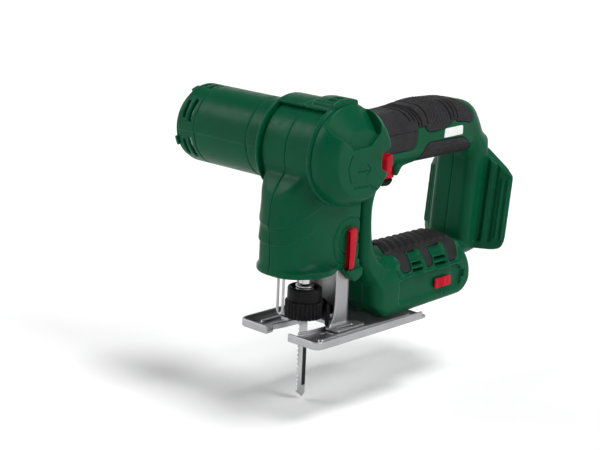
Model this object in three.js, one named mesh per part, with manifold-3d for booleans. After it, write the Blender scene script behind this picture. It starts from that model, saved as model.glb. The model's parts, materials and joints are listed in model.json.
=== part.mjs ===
// Cordless jigsaw with a swinging head, without its battery pack.
// Millimetres, +Z up. The origin is the middle of the sole's underside, -Y is the cutting direction
// and +X is the left side of the tool as its user holds it. The head points down, as for a jigsaw.
import * as THREE from 'three';
import { mergeVertices } from 'three/addons/utils/BufferGeometryUtils.js';
import Module from 'manifold-3d';

const wasm = await Module();
wasm.setup();

// ---- driving dimensions -------------------------------------------------------------------------
const GAP = 0.3; // air between pieces that touch
const WALL = 2.4; // moulded wall
const CORE = 4.4; // wall and soft grip together
const FINE = 36; // sides of a large round
const ROUND = 18; // sides of a small round
const FAR = 400; // longer than the tool, for cutting tools

const PIVOT = { y: -25, z: 120.4 }; // head swing axis, along X
const SPINDLE_Y = -30.5; // plunger, chuck and blade axis, along Z at X = 0

const PLATE = { w: 70, l: 109, t: 1.8, rim: 5.4, front: 6, rear: 1.5 }; // front, rear: corner radii
const SLOT = { half: 11, end: -9.5, mouthLeft: -13.8 };
const BEAD = { x: 25.5, half: 2.2, y0: -43, y1: 47, root: 0.4, h: 1.1 };
const WINDOW = { half: 13, y0: 31, y1: 47 };
const NOTCH = { half: 10, depth: 4.5 };
const LOW_RIM = { h: 0.6, l: 4 }; // rim left along the plate's rear edge

const HUB = { r: 33, half: 24, bore: 30.4, left: 20.7, right: -21.3, barrelBore: 26.7 };
const SADDLE_FRONT = 64; // degrees from straight ahead up to the saddle's front edge
const COVER = { r: 32, x0: 24 + GAP, x1: 41, face: 24.5, ring: 28 };

const DOCK = { z: 36, floor: 132.4, lean: 0.1056, half: 30, rail: 25.6, top: 88 };
const SWEEP = { front: 125, x: 18, slope: 0.61 }; // the dock's wings sweep back from the rear bar
const FLOOR_SWEEP = { x: 20, slope: 0.4 };
const BODY = { column: 21.5, lip: 11, grip: 18.5, housing: 28, rear: 18, dock: 36 }; // half widths
const GRIP_BEVEL = 7;
const CROWN = { z: 22, h: 24 }; // the lower housing's rounded top, above its widest height
const RUBBER = 1.8; // depth of the soft overmould

const HEAD = { half: 20.3, r: 29.8, wall: 2.2, rimZ: 43.5, rimTop: 48 };
const BARREL = { r: 25.6, x0: -20.9, x1: -102, lift: 2, wall: 2.2 };
const CRANK = { y: SPINDLE_Y, z: 97.04, pin: 10, x0: -14.5, x1: -8.5 };
const GEAR = { module: 1, pinion: 8, wheel: 40 };
const PLUNGER = { r: 4, z0: 32, z1: 84 };
const COLLAR = { z0: 10, z1: 30.5, r: 12.5, neck: 11.2, step: 21.5, ribs: 24 };
const BLADE = { w: 7.7, t: 1.2, tip: -45.7, top: 27 };

// ---- materials ----------------------------------------------------------------------------------
function finish(color, roughness, metalness) {
  return new THREE.MeshStandardMaterial({ color, roughness, metalness });
}
const green = () => finish(0x00502f, 0.42, 0);
const rubber = () => finish(0x343436, 0.75, 0);
const red = () => finish(0xc3202f, 0.38, 0);
const black = () => finish(0x1c1c1e, 0.5, 0);
const steel = () => finish(0xb9babc, 0.32, 1);
const castMetal = () => finish(0x9a9c9f, 0.5, 1);
const brass = () => finish(0xb08a4a, 0.35, 1);
const board = () => finish(0x1f5a3a, 0.6, 0);
const white = () => finish(0xe8ebe8, 0.45, 0);

// ---- solids -------------------------------------------------------------------------------------
function toSolid(geometry) {
  const source = geometry.clone();
  source.deleteAttribute('normal');
  source.deleteAttribute('uv');
  const merged = mergeVertices(source, 1e-4);
  const index = merged.index.array;
  const kept = [];
  for (let i = 0; i < index.length; i += 3) {
    const [a, b, c] = [index[i], index[i + 1], index[i + 2]];
    if (a !== b && b !== c && c !== a) kept.push(a, b, c);
  }
  const vertProperties = new Float32Array(merged.attributes.position.array);
  return new wasm.Manifold(new wasm.Mesh({ numProp: 3, vertProperties, triVerts: new Uint32Array(kept) }));
}

function toGeometry(solid) {
  const mesh = solid.getMesh();
  const geometry = new THREE.BufferGeometry();
  geometry.setAttribute('position', new THREE.BufferAttribute(mesh.vertProperties, 3));
  geometry.setIndex(new THREE.BufferAttribute(mesh.triVerts, 1));
  geometry.computeVertexNormals();
  return geometry;
}

const join = (...solids) => solids.reduce((a, b) => a.add(b));
const cut = (solid, ...tools) => tools.reduce((a, b) => a.subtract(b), solid);

// An outline is a function that draws a closed shape; shrink says how far the prism will draw it in,
// and a corner too tight for that stays sharp. Points are [a, b], or [a, b, reach] for a rounded corner.
function outline(points) {
  const at = (i) => new THREE.Vector2(...points[(i + points.length) % points.length].slice(0, 2));
  return (shrink = 0) => {
    const shape = new THREE.Shape();
    points.forEach((point, i) => {
      const corner = at(i);
      const before = at(i - 1).sub(corner);
      const after = at(i + 1).sub(corner);
      const half = Math.acos(before.dot(after) / (before.length() * after.length())) / 2;
      let reach = Math.min(point[2] ?? 0, before.length() * 0.48, after.length() * 0.48);
      if (reach * Math.tan(half) * 0.6 < shrink) reach = 0;
      const start = corner.clone().add(before.setLength(reach));
      const end = corner.clone().add(after.setLength(reach));
      if (i === 0) shape.moveTo(start.x, start.y);
      else shape.lineTo(start.x, start.y);
      if (reach > 0) shape.quadraticCurveTo(corner.x, corner.y, end.x, end.y);
    });
    return shape;
  };
}

function circle(a, b, r) {
  return () => new THREE.Shape().absarc(a, b, r, 0, 2 * Math.PI);
}

function rectangle(a0, a1, b0, b1, r = 0) {
  return outline([[a0, b0, r], [a1, b0, r], [a1, b1, r], [a0, b1, r]]);
}

const TURN = { // extrusion axis to world axes: outline (Y, Z) along X, (X, Z) along Y, (X, Y) along Z
  X: new THREE.Matrix4().set(0, 0, 1, 0, 1, 0, 0, 0, 0, 1, 0, 0, 0, 0, 0, 1),
  Y: new THREE.Matrix4().set(1, 0, 0, 0, 0, 0, -1, 0, 0, 1, 0, 0, 0, 0, 0, 1),
  Z: new THREE.Matrix4(),
};

// Prism of an outline along an axis from a to b; bevel rounds its two ends, inset shrinks it all over.
function prism(axis, draw, a, b, { bevel = 0, inset = 0, sides = 4, steps = 2 } = {}) {
  const [low, high] = axis === 'Y' ? [-b, -a] : [a, b];
  const length = high - low - 2 * inset;
  const round = Math.max(0, bevel - inset);
  const shrink = round + inset;
  const lip = round > 0 ? round : 0.01;
  const geometry = new THREE.ExtrudeGeometry(draw(shrink), {
    depth: shrink ? length - 2 * lip : length,
    bevelEnabled: shrink !== 0,
    bevelThickness: lip,
    bevelSize: round,
    bevelOffset: -shrink,
    bevelSegments: round > 0 ? steps : 1,
    curveSegments: sides,
  });
  geometry.translate(0, 0, low + inset + (shrink ? lip : 0));
  geometry.applyMatrix4(TURN[axis]);
  return toSolid(geometry);
}

const box = (x0, x1, y0, y1, z0, z1) => prism('Z', rectangle(x0, x1, y0, y1), z0, z1);

function rod(axis, a, b, r, from, to, sides = ROUND) {
  return prism(axis, circle(a, b, r), from, to, { sides: sides / 2 });
}

// Everything on one side of the plane X = 0, less half of the gap between the two shell halves.
function halfSpace(sign) {
  return sign > 0 ? box(GAP / 2, FAR, -FAR, FAR, -FAR, FAR) : box(-FAR, -GAP / 2, -FAR, FAR, -FAR, FAR);
}

// The same box on the left (sign 1) or on the right (sign -1), with a0 and a1 measured outwards.
function sideBox(sign, a0, a1, y0, y1, z0, z1) {
  return sign > 0 ? box(a0, a1, y0, y1, z0, z1) : box(-a1, -a0, y0, y1, z0, z1);
}

function ring(axis, a, b, outer, inner, from, to, sides = ROUND) {
  return rod(axis, a, b, outer, from, to, sides).subtract(rod(axis, a, b, inner, from - 1, to + 1, sides));
}

function tube(curve, r, steps, sides = 8) {
  const section = circle(0, 0, r)();
  return toSolid(new THREE.ExtrudeGeometry(section, { steps, extrudePath: curve, curveSegments: sides / 2 }));
}

const polar = (r, degrees) => [r * Math.cos(THREE.MathUtils.degToRad(degrees)),
  r * Math.sin(THREE.MathUtils.degToRad(degrees))];

const tool = new THREE.Group();
tool.name = 'jigsaw';

function part(name, solid, material) {
  const mesh = new THREE.Mesh(toGeometry(solid), material);
  mesh.name = name;
  tool.add(mesh);
}

// ---- body: two half shells round the handle, the column, the lower housing and the battery dock ---
const side = {
  column: outline([[1.6, 100], [1.6, 44], [8, 30], [30, 34], [12, 58, 8], [9.5, 84, 8], [18, 97, 8],
    [28, 105], [4, 112], [-4, 130], [-12, 120]]),
  grip: outline([[-4, 104], [-4, 140.6], [12, 138.6], [30, 138.2], [47, 139], [62, 140.9], [77, 142.1],
    [92, 141.8], [106, 141], [117, 139.4], [124, 135.2], [129.2, 128], [133.2, 121], [137.6, 111.3],
    [136, 96], [121, 103.5], [60, 102.6], [20, 102.6]]),
  lip: outline([[42, 108], [43, 94.5], [46, 94.5], [48.4, 98.4], [50.6, 100.8], [56.2, 102.1], [58, 108]]),
  rear: outline([[114.2, 40], [120.3, 112], [136.8, 112], [136.5, 31], [124, 28.5], [100, 28.5], [100, 40]]),
  housing: outline([[2, 56], [8.4, 28], [9.8, 15], [19.6, 5.6], [102, 7.8], [109.6, 15], [108, 42], [22, 47],
    [10, 56]]),
  dock: outline([[120, 36], [138, 36], [145.6, 108], [127.6, 108]]),
};

const bar = (draw, half, options) => prism('X', draw, -half, half, options);
const grip = (inset) => bar(side.grip, BODY.grip, { bevel: GRIP_BEVEL, inset, steps: 3 });

// The lower housing is crowned: its top follows an ellipse across the tool.
function housing(inset) {
  const half = BODY.housing - inset;
  const section = () => new THREE.Shape()
    .moveTo(-half, 0)
    .lineTo(half, 0)
    .absellipse(0, CROWN.z, half, CROWN.h - inset, 0, Math.PI);
  return bar(side.housing, BODY.housing, { bevel: 3, inset, steps: 3 })
    .intersect(prism('Y', section, -FAR, FAR, { sides: 10 }));
}

// Everything behind a front that sweeps back on both sides of the middle and leans back with the dock.
function sweptBack(front, { x, slope }) {
  const far = front + slope * (FAR - x);
  const plan = outline([[-FAR, far], [-x, front], [x, front], [FAR, far], [FAR, 2 * FAR], [-FAR, 2 * FAR]]);
  return prism('Z', plan, 0, FAR)
    .transform([1, 0, 0, 0, 0, 1, 0, 0, 0, DOCK.lean, 1, 0, 0, -DOCK.z * DOCK.lean, 0, 1]);
}

function bodyZones(inset) {
  const wall = Math.min(inset, WALL);
  const leaning = bar(side.dock, BODY.dock, { bevel: 2, inset: wall });
  const arch = outline([[-FAR, 0], [FAR, 0], [FAR, 66], [BODY.dock, 87 - inset], [9, 105 - inset, 6],
    [-9, 105 - inset, 6], [-BODY.dock, 87 - inset], [-FAR, 66]]);
  return join(
    rod('X', PIVOT.y, PIVOT.z, HUB.r - inset, -HUB.half + inset, HUB.half - inset, FINE),
    bar(side.column, BODY.column, { inset: wall }),
    bar(side.lip, BODY.lip, { inset: Math.min(inset, 1.5) }),
    bar(side.rear, BODY.rear, { bevel: 3.5, inset: wall }),
    grip(inset),
    housing(inset),
    leaning.intersect(prism('Y', arch, 0, FAR)).intersect(sweptBack(SWEEP.front + wall, SWEEP)),
  );
}

// Space that the head turns in, grown by margin.
function headSpace(margin) {
  const x0 = HUB.right - margin;
  const x1 = HUB.left + margin;
  const [dy, dz] = polar(FAR, 180 - SADDLE_FRONT);
  const swing = outline([[PIVOT.y, PIVOT.z], [PIVOT.y + dy, PIVOT.z + dz], [-FAR, FAR], [-FAR, -FAR],
    [1 + margin, -FAR], [1 + margin, PIVOT.z - 8]]);
  return join(
    rod('X', PIVOT.y, PIVOT.z, HUB.bore + margin, x0, x1, FINE),
    prism('X', swing, x0, x1),
    rod('X', PIVOT.y, PIVOT.z, HUB.barrelBore, -FAR, 0, FINE),
  );
}

// The dock leans back a little; its channel is open below, where the battery pack slides in.
const dockSlab = (from, to, z0, z1) => {
  const lean = (z) => (z - DOCK.z) * DOCK.lean;
  return outline([[from + lean(z0), z0], [to + lean(z0), z0], [to + lean(z1), z1], [from + lean(z1), z1]]);
};
function dockRecess() {
  const channel = prism('X', dockSlab(DOCK.floor, FAR, 20, DOCK.top), -DOCK.half, DOCK.half)
    .intersect(sweptBack(DOCK.floor, FLOOR_SWEEP));
  const rails = prism('X', dockSlab(DOCK.floor + 3.4, DOCK.floor + 5.6, 20, DOCK.top - 4), -FAR, FAR);
  return cut(channel, cut(rails, box(-DOCK.rail, DOCK.rail, 0, FAR, 0, FAR)));
}

const softZone = {
  upper: outline([[5, 170], [5, 113.8], [46.7, 113.5], [52.9, 115.1, 1], [53.9, 119.3, 2], [53.9, 128.2],
    [61.8, 128.4], [64.3, 124.1], [76.1, 123.5], [89.4, 127.3], [90.9, 129.6], [94.3, 129.4], [95.8, 127.6],
    [103.2, 127.2], [112.6, 125.2, 2], [115, 129.8, 2], [112.6, 134], [104, 143], [104, 170]]),
  under: outline([[60, 80], [61.6, 107.3, 2], [62.9, 112.9], [67.2, 116.8, 2], [104, 116.4, 2], [109.4, 113],
    [116, 108], [112, 80]]),
};
// Soft fingers down the lower housing's flanks: Y range at their lower and at their upper end.
const fingers = [[37.6, 45.6, 38.6, 51.4], [63.1, 69.4, 66.4, 74.4], [87.5, 95.8, 92, 104]];
const FINGER = { z0: 32, z1: 43 };
const PAD = { half: 14.5, z: 38, y0: 34.5, corner: 33, middle: 40.2, y1: 104 };

function lowerSoftZone(grow) {
  const { half, z, y0, corner, middle, y1 } = PAD;
  const a = half + grow;
  const pad = prism('Z', outline([[-a, y1 + grow], [-a, y0 - grow], [-12, corner - grow], [0, middle - grow],
    [12, corner - grow], [a, y0 - grow], [a, y1 + grow]]), z, FAR);
  const stripes = fingers.map(([a0, a1, b0, b1]) => prism('X', outline([[a0 - grow, FINGER.z0 - grow],
    [a1 + grow, FINGER.z0 - grow], [b1 + grow, FINGER.z1], [b0 - grow, FINGER.z1]]), -FAR, FAR));
  return join(pad, ...stripes);
}

const triggerPocket = box(-8.2, 8.2, 29, 53, 80, 108);
const lockPocket = { y0: 5.6, y1: 19.4, z0: 103.6, z1: 122.6 };
const sliderPocket = { y0: 69.4, y1: 97, z0: 14.6, z1: 24.4 };
const bodyScrews = [[24, 128], [128, 118], [6.2, 70], [24, 24], [98, 20]];
const SCREW = { head: 3.4, shank: 1.6, boss: 4.2, drive: 1.6 };
const VENT = { y: [49.2, 73.4], z: [31, 34.4], l: 9.6, h: 1.8 };

function bodyHalf(sign) {
  const cavity = cut(bodyZones(CORE), headSpace(WALL),
    prism('X', dockSlab(DOCK.floor - WALL, FAR, 0, DOCK.top + WALL), -FAR, FAR));
  const bosses = join(...bodyScrews.map(([y, z]) => rod('X', y, z, SCREW.boss, -30, 30, 14)));
  let shell = cut(bodyZones(0), cavity).add(bosses.intersect(bodyZones(0.5)));
  const softTop = prism('X', softZone.upper, -FAR, FAR).add(prism('X', softZone.under, -FAR, FAR));
  shell = cut(shell, headSpace(0), dockRecess(), triggerPocket,
    cut(grip(-0.5).intersect(softTop), grip(RUBBER + GAP)),
    cut(housing(-0.5).intersect(lowerSoftZone(GAP)), housing(RUBBER + GAP)),
    box(7.5, FAR, lockPocket.y0, lockPocket.y1, lockPocket.z0, lockPocket.z1),
    box(BODY.housing - 1.2, FAR, sliderPocket.y0, sliderPocket.y1, sliderPocket.z0, sliderPocket.z1));
  for (const [y, z] of bodyScrews) {
    shell = cut(shell, rod('X', y, z, SCREW.shank + GAP, -FAR, 14, 12));
    shell = cut(shell, rod('X', y, z, SCREW.head + GAP, -FAR, -9, 12));
  }
  for (const y of VENT.y) {
    for (const z of VENT.z) shell = cut(shell, box(-FAR, FAR, y, y + VENT.l, z, z + VENT.h));
  }
  return shell.intersect(halfSpace(sign));
}
part('body_shell_left', bodyHalf(1), green());
part('body_shell_right', bodyHalf(-1), green());

bodyScrews.forEach(([y, z], i) => {
  const screw = join(rod('X', y, z, SCREW.head, -13, -10, 12), rod('X', y, z, SCREW.shank, -10.5, 12, 12));
  const drive = rod('X', y, z, SCREW.drive, -14, -11.5, 6);
  part(`body_screw_${i + 1}`, cut(screw, drive), steel());
});

// Overmoulded soft grips.
function softGrip(zone) {
  const skin = cut(grip(0), grip(RUBBER));
  return skin.intersect(prism('X', zone, -FAR, FAR));
}
part('grip_upper', cut(softGrip(softZone.upper), box(-FAR, FAR, -FAR, 5 + GAP, 0, FAR),
  rod('X', PIVOT.y, PIVOT.z, HUB.r + GAP, -FAR, FAR, FINE),
  box(0, FAR, lockPocket.y0 - 1, lockPocket.y1 + 1, 100, lockPocket.z1 + 1)), rubber());
part('grip_under', cut(softGrip(softZone.under), box(-FAR, FAR, -FAR, 60 + GAP, 0, FAR)), rubber());
part('grip_lower', cut(housing(0), housing(RUBBER)).intersect(lowerSoftZone(0)), rubber());

// Round cover that closes the hub on the left, with its raised ring and sunk face.
function hubCover() {
  const { r, x0, x1, face, ring: edge } = COVER;
  const profile = [[0, x0], [r, x0], [r, x0 + 6], [edge + 1, x0 + 13], [face, x1], [face - 4, x1],
    [face - 5, x1 - 1.5], [0, x1 - 1.5]].map(([a, b]) => new THREE.Vector2(a, b));
  const geometry = new THREE.LatheGeometry(profile, FINE + 12);
  geometry.applyMatrix4(new THREE.Matrix4().set(0, 1, 0, 0, 0, 0, 1, PIVOT.y, 1, 0, 0, PIVOT.z, 0, 0, 0, 1));
  return cut(toSolid(geometry), box(0, FAR, 5.6 - GAP, 30, 100, 126));
}
part('hub_cover', hubCover(), green());

part('badge', prism('X', outline([[81.5, 118], [102.7, 118.4], [102.3, 124.7], [82.4, 124.3]]),
  BODY.grip + GAP, BODY.grip + GAP + 0.5), white());

// ---- controls on the body -------------------------------------------------------------------------
part('trigger', join(
  prism('X', outline([[32.5, 93], [33.5, 104], [46, 107], [46, 93]]), -7.6, 7.6, { bevel: 1.5 }),
  box(-4, 4, 36, 46, 104, 109.5),
), red());
part('trigger_tip', prism('X', outline([[32.3, 92.7], [33, 88.5, 3], [42, 87.6, 5], [45.8, 92.7]]), -7.4, 7.4,
  { bevel: 1.5 }), black());
part('head_lock_button', join(
  prism('X', rectangle(6.2, 18.8, 104.2, 119.4, 1), 14, 27.2, { bevel: 1 }),
  box(11, 14.5, 8, 17, 106, 118),
), red());
part('storage_slider', prism('X', rectangle(70, 87, 16, 23, 1), BODY.housing - 0.9, BODY.housing + 2,
  { bevel: 0.8 }), red());

// ---- electrics ------------------------------------------------------------------------------------
part('switch_module', box(-9, 9, 57, 84, 110.5, 128), black());
part('control_board', box(-20, 20, 34, 88, 25, 26.6), board());
const terminals = dockSlab(DOCK.floor + GAP, DOCK.floor + 6.4, 72, DOCK.top - GAP);
part('terminal_block', bar(terminals, 17), black());
const contactSlab = dockSlab(DOCK.floor + 1.6, DOCK.floor + 6, 55, 72 - GAP);
[-12, -4, 4, 12].forEach((x, i) => {
  part(`contact_${i + 1}`, prism('X', contactSlab, x - 0.4, x + 0.4), brass());
});

// ---- head: two half shells, the motor barrel and the parts inside -----------------------------------
const plan = {
  neck: (x) => outline([[-x, -1], [-x, -42], [-x + 2.6, -53], [-x + 9.5, -63], [0, -68.5], [x - 9.5, -63],
    [x - 2.6, -53], [x, -42], [x, -1]]),
  rim: outline([[-17, -2], [-18.5, -21], [-24.6, -30], [-26, -38], [-24, -48], [-18, -58.5], [-9, -64.5],
    [9, -64.5], [18, -58.5], [24, -48], [26, -38], [24.6, -30], [18.5, -21], [17, -2]]),
};
const headProfile = outline([[-73, 40], [-65.5, 52], [-65.5, 72.4], [-68.3, 73.6], [-68.3, 84], [-63, 98],
  [-52, 111], [-30, 119], [-8, 119], [-0.9, 100], [-0.9, 40]]);
const lobe = (top) => outline([[-18, top], [-14.5, 39.5], [-8, 33.6], [-0.9, 37.6], [-0.9, top]]);

function headOuter(inset) {
  const neck = prism('Z', plan.neck(HEAD.half), 40, 122, { inset });
  const profile = prism('X', headProfile, -FAR, FAR, { inset });
  const above = box(-FAR, FAR, -FAR, FAR, HEAD.rimTop - 2, FAR);
  return join(
    rod('X', PIVOT.y, PIVOT.z, HEAD.r - inset, -20.6 + inset, HEAD.half - inset, FINE),
    neck.intersect(profile).intersect(above),
  );
}

const LEVER = { y: -11.6, z: 62, pin: 3 };
const headScrews = [[-57, 84], [-57, 58]];
function headHalf(sign) {
  const inner = HEAD.half - HEAD.wall;
  let shell = join(headOuter(0), prism('Z', plan.rim, HEAD.rimZ, HEAD.rimTop, { bevel: 1.5 }),
    prism('X', lobe(43.2), inner, 23.6), prism('X', lobe(47), inner, HEAD.half));
  shell = cut(shell, headOuter(HEAD.wall), prism('Z', plan.neck(HEAD.half), 20, 60, { inset: HEAD.wall }),
    rod('X', PIVOT.y, PIVOT.z, 23.5, -FAR, -15, FINE),
    rod('X', LEVER.y, LEVER.z, LEVER.pin + GAP, 10, FAR, 12));
  for (const [y, z] of headScrews) {
    shell = shell.add(rod('X', y, z, SCREW.boss, -18.5, 18.5, 14).intersect(headOuter(0.6)));
    shell = cut(shell, rod('X', y, z, SCREW.shank + GAP, -FAR, 12, 12));
    shell = cut(shell, rod('X', y, z, SCREW.head + GAP, -FAR, -8, 12));
  }
  return shell.intersect(halfSpace(sign));
}
part('head_shell_left', headHalf(1), green());
part('head_shell_right', headHalf(-1), green());
headScrews.forEach(([y, z], i) => {
  const screw = join(rod('X', y, z, SCREW.head, -12, -9, 12), rod('X', y, z, SCREW.shank, -9.5, 10, 12));
  part(`head_screw_${i + 1}`, cut(screw, rod('X', y, z, SCREW.drive, -13, -10.5, 6)), steel());
});

// The barrel is a little fuller on its upper side.
function barrelOutline(r, lift) {
  return () => new THREE.Shape()
    .absarc(PIVOT.y, PIVOT.z + lift, r, 0, Math.PI)
    .absarc(PIVOT.y, PIVOT.z, r, Math.PI, 2 * Math.PI);
}
function motorHousing() {
  const tubeOuter = prism('X', barrelOutline(BARREL.r, BARREL.lift), BARREL.x1, -25.5, { sides: FINE / 4 });
  const neck = rod('X', PIVOT.y, PIVOT.z, BARREL.r, -26, BARREL.x0, FINE);
  const bore = rod('X', PIVOT.y, PIVOT.z, BARREL.r - BARREL.wall, BARREL.x1 - 1, 0, FINE);
  let solid = cut(join(tubeOuter, neck), bore);
  for (let i = 0; i < 6; i += 1) {
    const corners = [[0, 0], polar(60, i * 60 + 12), polar(60, i * 60 + 48)];
    const wedge = outline(corners.map(([dy, dz]) => [PIVOT.y + dy, PIVOT.z + dz]));
    solid = cut(solid, prism('X', wedge, -93, -89.8));
  }
  return solid;
}
part('motor_housing', motorHousing(), green());

function endCap() {
  let solid = join(
    rod('X', PIVOT.y, PIVOT.z, 24.6, -105.4, -102.3, FINE),
    ring('X', PIVOT.y, PIVOT.z, 23, 20, -102.5, -98, FINE),
  );
  for (let i = 0; i < 4; i += 1) {
    const [dy, dz] = polar(24.4, i * 90 + 20);
    solid = solid.add(rod('X', PIVOT.y + dy, PIVOT.z + dz, 3, -104.6, -102.3, 10));
  }
  for (let i = 0; i < 6; i += 1) {
    const [dy, dz] = polar(11, i * 60);
    solid = cut(solid, rod('X', PIVOT.y + dy, PIVOT.z + dz, 3.4, -110, -90, 8));
  }
  return solid;
}
part('barrel_end_cap', endCap(), green());

const MOTOR = { x0: -96, x1: -40, r: 22, bore: 17.5, end: 6.3 };
part('motor_can', cut(
  rod('X', PIVOT.y, PIVOT.z, MOTOR.r, MOTOR.x0, MOTOR.x1, FINE),
  rod('X', PIVOT.y, PIVOT.z, MOTOR.bore, MOTOR.x0 + 8, MOTOR.x1 - 4, FINE),
  rod('X', PIVOT.y, PIVOT.z, MOTOR.end, MOTOR.x0 - 1, MOTOR.x1 + 1),
), steel());
part('rear_bearing', ring('X', PIVOT.y, PIVOT.z, 6, 2.6, -95, -90), steel());
part('front_bearing', ring('X', PIVOT.y, PIVOT.z, 8, 2.6, -20, -16), steel());

const shaft = rod('X', PIVOT.y, PIVOT.z, 2.5, -96, -7.5);
part('rotor_shaft', shaft, steel());
function slottedCore() {
  let solid = ring('X', PIVOT.y, PIVOT.z, 15.5, 2.8, -84, -50);
  for (let i = 0; i < 7; i += 1) {
    const [dy, dz] = polar(14, (i * 360) / 7);
    solid = cut(solid, rod('X', PIVOT.y + dy, PIVOT.z + dz, 1.8, -90, -40, 8));
  }
  return solid;
}
part('armature', slottedCore(), castMetal());
part('cooling_fan', (() => {
  let solid = ring('X', PIVOT.y, PIVOT.z, 7, 2.8, -36, -26);
  solid = solid.add(ring('X', PIVOT.y, PIVOT.z, 20, 6, -27.6, -26, FINE));
  for (let i = 0; i < 9; i += 1) {
    const blade = new THREE.BoxGeometry(8, 13.5, 1.2).translate(-31.5, 13, 0).rotateX((i * 2 * Math.PI) / 9);
    solid = solid.add(toSolid(blade.translate(0, PIVOT.y, PIVOT.z)));
  }
  return solid;
})(), black());

// Spur gear with flat-topped teeth; phase turns it by a fraction of a tooth.
function spurGear(y, z, teeth, phase, x0, x1) {
  const shape = new THREE.Shape();
  const r = (GEAR.module * teeth) / 2;
  const radii = [r - 1.2, r + 0.85, r + 0.85, r - 1.2];
  const fractions = [-0.34, -0.13, 0.13, 0.34];
  for (let i = 0; i < teeth; i += 1) {
    fractions.forEach((fraction, k) => {
      const [a, b] = polar(radii[k], ((i + fraction + phase) * 360) / teeth);
      if (i === 0 && k === 0) shape.moveTo(y + a, z + b);
      else shape.lineTo(y + a, z + b);
    });
  }
  return prism('X', () => shape, x0, x1);
}
// The line of centres, seen from the wheel, decides which tooth of the wheel meets a pinion gap.
const lineOfCentres = THREE.MathUtils.radToDeg(Math.atan2(PIVOT.z - CRANK.z, PIVOT.y - CRANK.y));
const wheelPhase = (lineOfCentres * GEAR.wheel) / 360;
const pinionPhase = ((lineOfCentres + 180) * GEAR.pinion) / 360 + 0.5;
part('pinion', cut(spurGear(PIVOT.y, PIVOT.z, GEAR.pinion, pinionPhase, CRANK.x0, CRANK.x1),
  rod('X', PIVOT.y, PIVOT.z, 2.55, -FAR, FAR)), steel());

const REST_RISE = -6; // the plunger rests this far from mid stroke
const pinOffset = Math.sqrt(CRANK.pin ** 2 - REST_RISE ** 2);
const crankPin = { y: CRANK.y + pinOffset, z: CRANK.z + REST_RISE };
part('crank_gear', cut(
  join(spurGear(CRANK.y, CRANK.z, GEAR.wheel, wheelPhase, CRANK.x0, CRANK.x1),
    rod('X', crankPin.y, crankPin.z, 3, CRANK.x1 - 0.5, -4.6)),
  rod('X', CRANK.y, CRANK.z, 3.06, -FAR, FAR),
), steel());
part('crank_axle', rod('X', CRANK.y, CRANK.z, 3, -17.4, CRANK.x1 + 0.6), steel());

const FRAME = { x0: -17.6, x1: -15.6 };
part('gear_frame', cut(
  join(
    prism('X', outline([[-41, 50, 3], [-21, 50], [-21, 64], [-12, 72], [-12, 128, 4], [-38, 128, 4],
      [-41, 112]]), FRAME.x0, FRAME.x1),
    prism('X', rectangle(-40, -21, 50, 58.5, 1), FRAME.x0, 10),
    prism('X', rectangle(-40, -21, 64, 74, 1), FRAME.x0, 10),
  ),
  rod('Z', 0, SPINDLE_Y, 7.5 + GAP, 40, 80),
  rod('X', PIVOT.y, PIVOT.z, 8 + GAP, -FAR, FAR),
  rod('X', CRANK.y, CRANK.z, 3 + GAP, -FAR, FAR),
), castMetal());
part('lower_bush', ring('Z', 0, SPINDLE_Y, 7.5, PLUNGER.r + 0.08, 50, 58.5), brass());
part('upper_bush', ring('Z', 0, SPINDLE_Y, 7.5, PLUNGER.r + 0.08, 64, 74), brass());

function guardWire() {
  const half = 2.3;
  const y = -53.2;
  const points = [[-half, y, 49], [-half, y, 30], [-half, y, 19], [0, y, 16], [half, y, 19], [half, y, 30],
    [half, y, 49]].map((p) => new THREE.Vector3(...p));
  return tube(new THREE.CatmullRomCurve3(points, false, 'catmullrom', 0.3), 0.9, 16);
}
part('guard_wire', guardWire(), steel());

// ---- plunger, chuck and blade ----------------------------------------------------------------------
part('plunger', rod('Z', 0, SPINDLE_Y, PLUNGER.r, PLUNGER.z0, PLUNGER.z1), steel());
part('yoke', cut(
  prism('Z', rectangle(-4, 4, -45, -16, 1), PLUNGER.z1 + GAP, 98),
  box(-5, 5, -42.5, -18.5, 87.7, 94.4),
), steel());
part('chuck_core', cut(
  rod('Z', 0, SPINDLE_Y, 6, 11.5, 31.7),
  box(-BLADE.t / 2 - GAP, BLADE.t / 2 + GAP, SPINDLE_Y - 4.2, SPINDLE_Y + 4.2, 5, BLADE.top + GAP),
), steel());

function blade() {
  const front = SPINDLE_Y - BLADE.w / 2;
  const back = SPINDLE_Y + BLADE.w / 2;
  const shape = new THREE.Shape();
  shape.moveTo(back, 12);
  shape.lineTo(back - 1, BLADE.top);
  shape.lineTo(front + 1, BLADE.top);
  shape.lineTo(front, 12);
  const pitch = 3;
  const lowest = BLADE.tip + 4.5;
  for (let z = 4; z - pitch > lowest; z -= pitch) {
    shape.lineTo(front + 0.9, z);
    shape.lineTo(front - 0.1, z - pitch * 0.85);
  }
  shape.lineTo(front, lowest);
  shape.lineTo(SPINDLE_Y + 1.5, BLADE.tip);
  shape.lineTo(back, BLADE.tip + 2.5);
  return prism('X', () => shape, -BLADE.t / 2, BLADE.t / 2);
}
part('blade', blade(), steel());

function chuckCollar() {
  const ribbed = new THREE.Shape();
  for (let i = 0; i < COLLAR.ribs * 2; i += 1) {
    const r = i % 2 ? COLLAR.r : COLLAR.r - 0.7;
    const [x, y] = polar(r, ((i + 0.5) * 180) / COLLAR.ribs);
    if (i === 0) ribbed.moveTo(x, SPINDLE_Y + y);
    else ribbed.lineTo(x, SPINDLE_Y + y);
  }
  const neck = rod('Z', 0, SPINDLE_Y, COLLAR.neck, COLLAR.step - 0.5, COLLAR.z1, FINE);
  const collar = join(prism('Z', () => ribbed, COLLAR.z0, COLLAR.step), neck);
  return cut(collar, rod('Z', 0, SPINDLE_Y, 6 + GAP, 0, 40));
}
part('chuck_collar', chuckCollar(), black());

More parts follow.
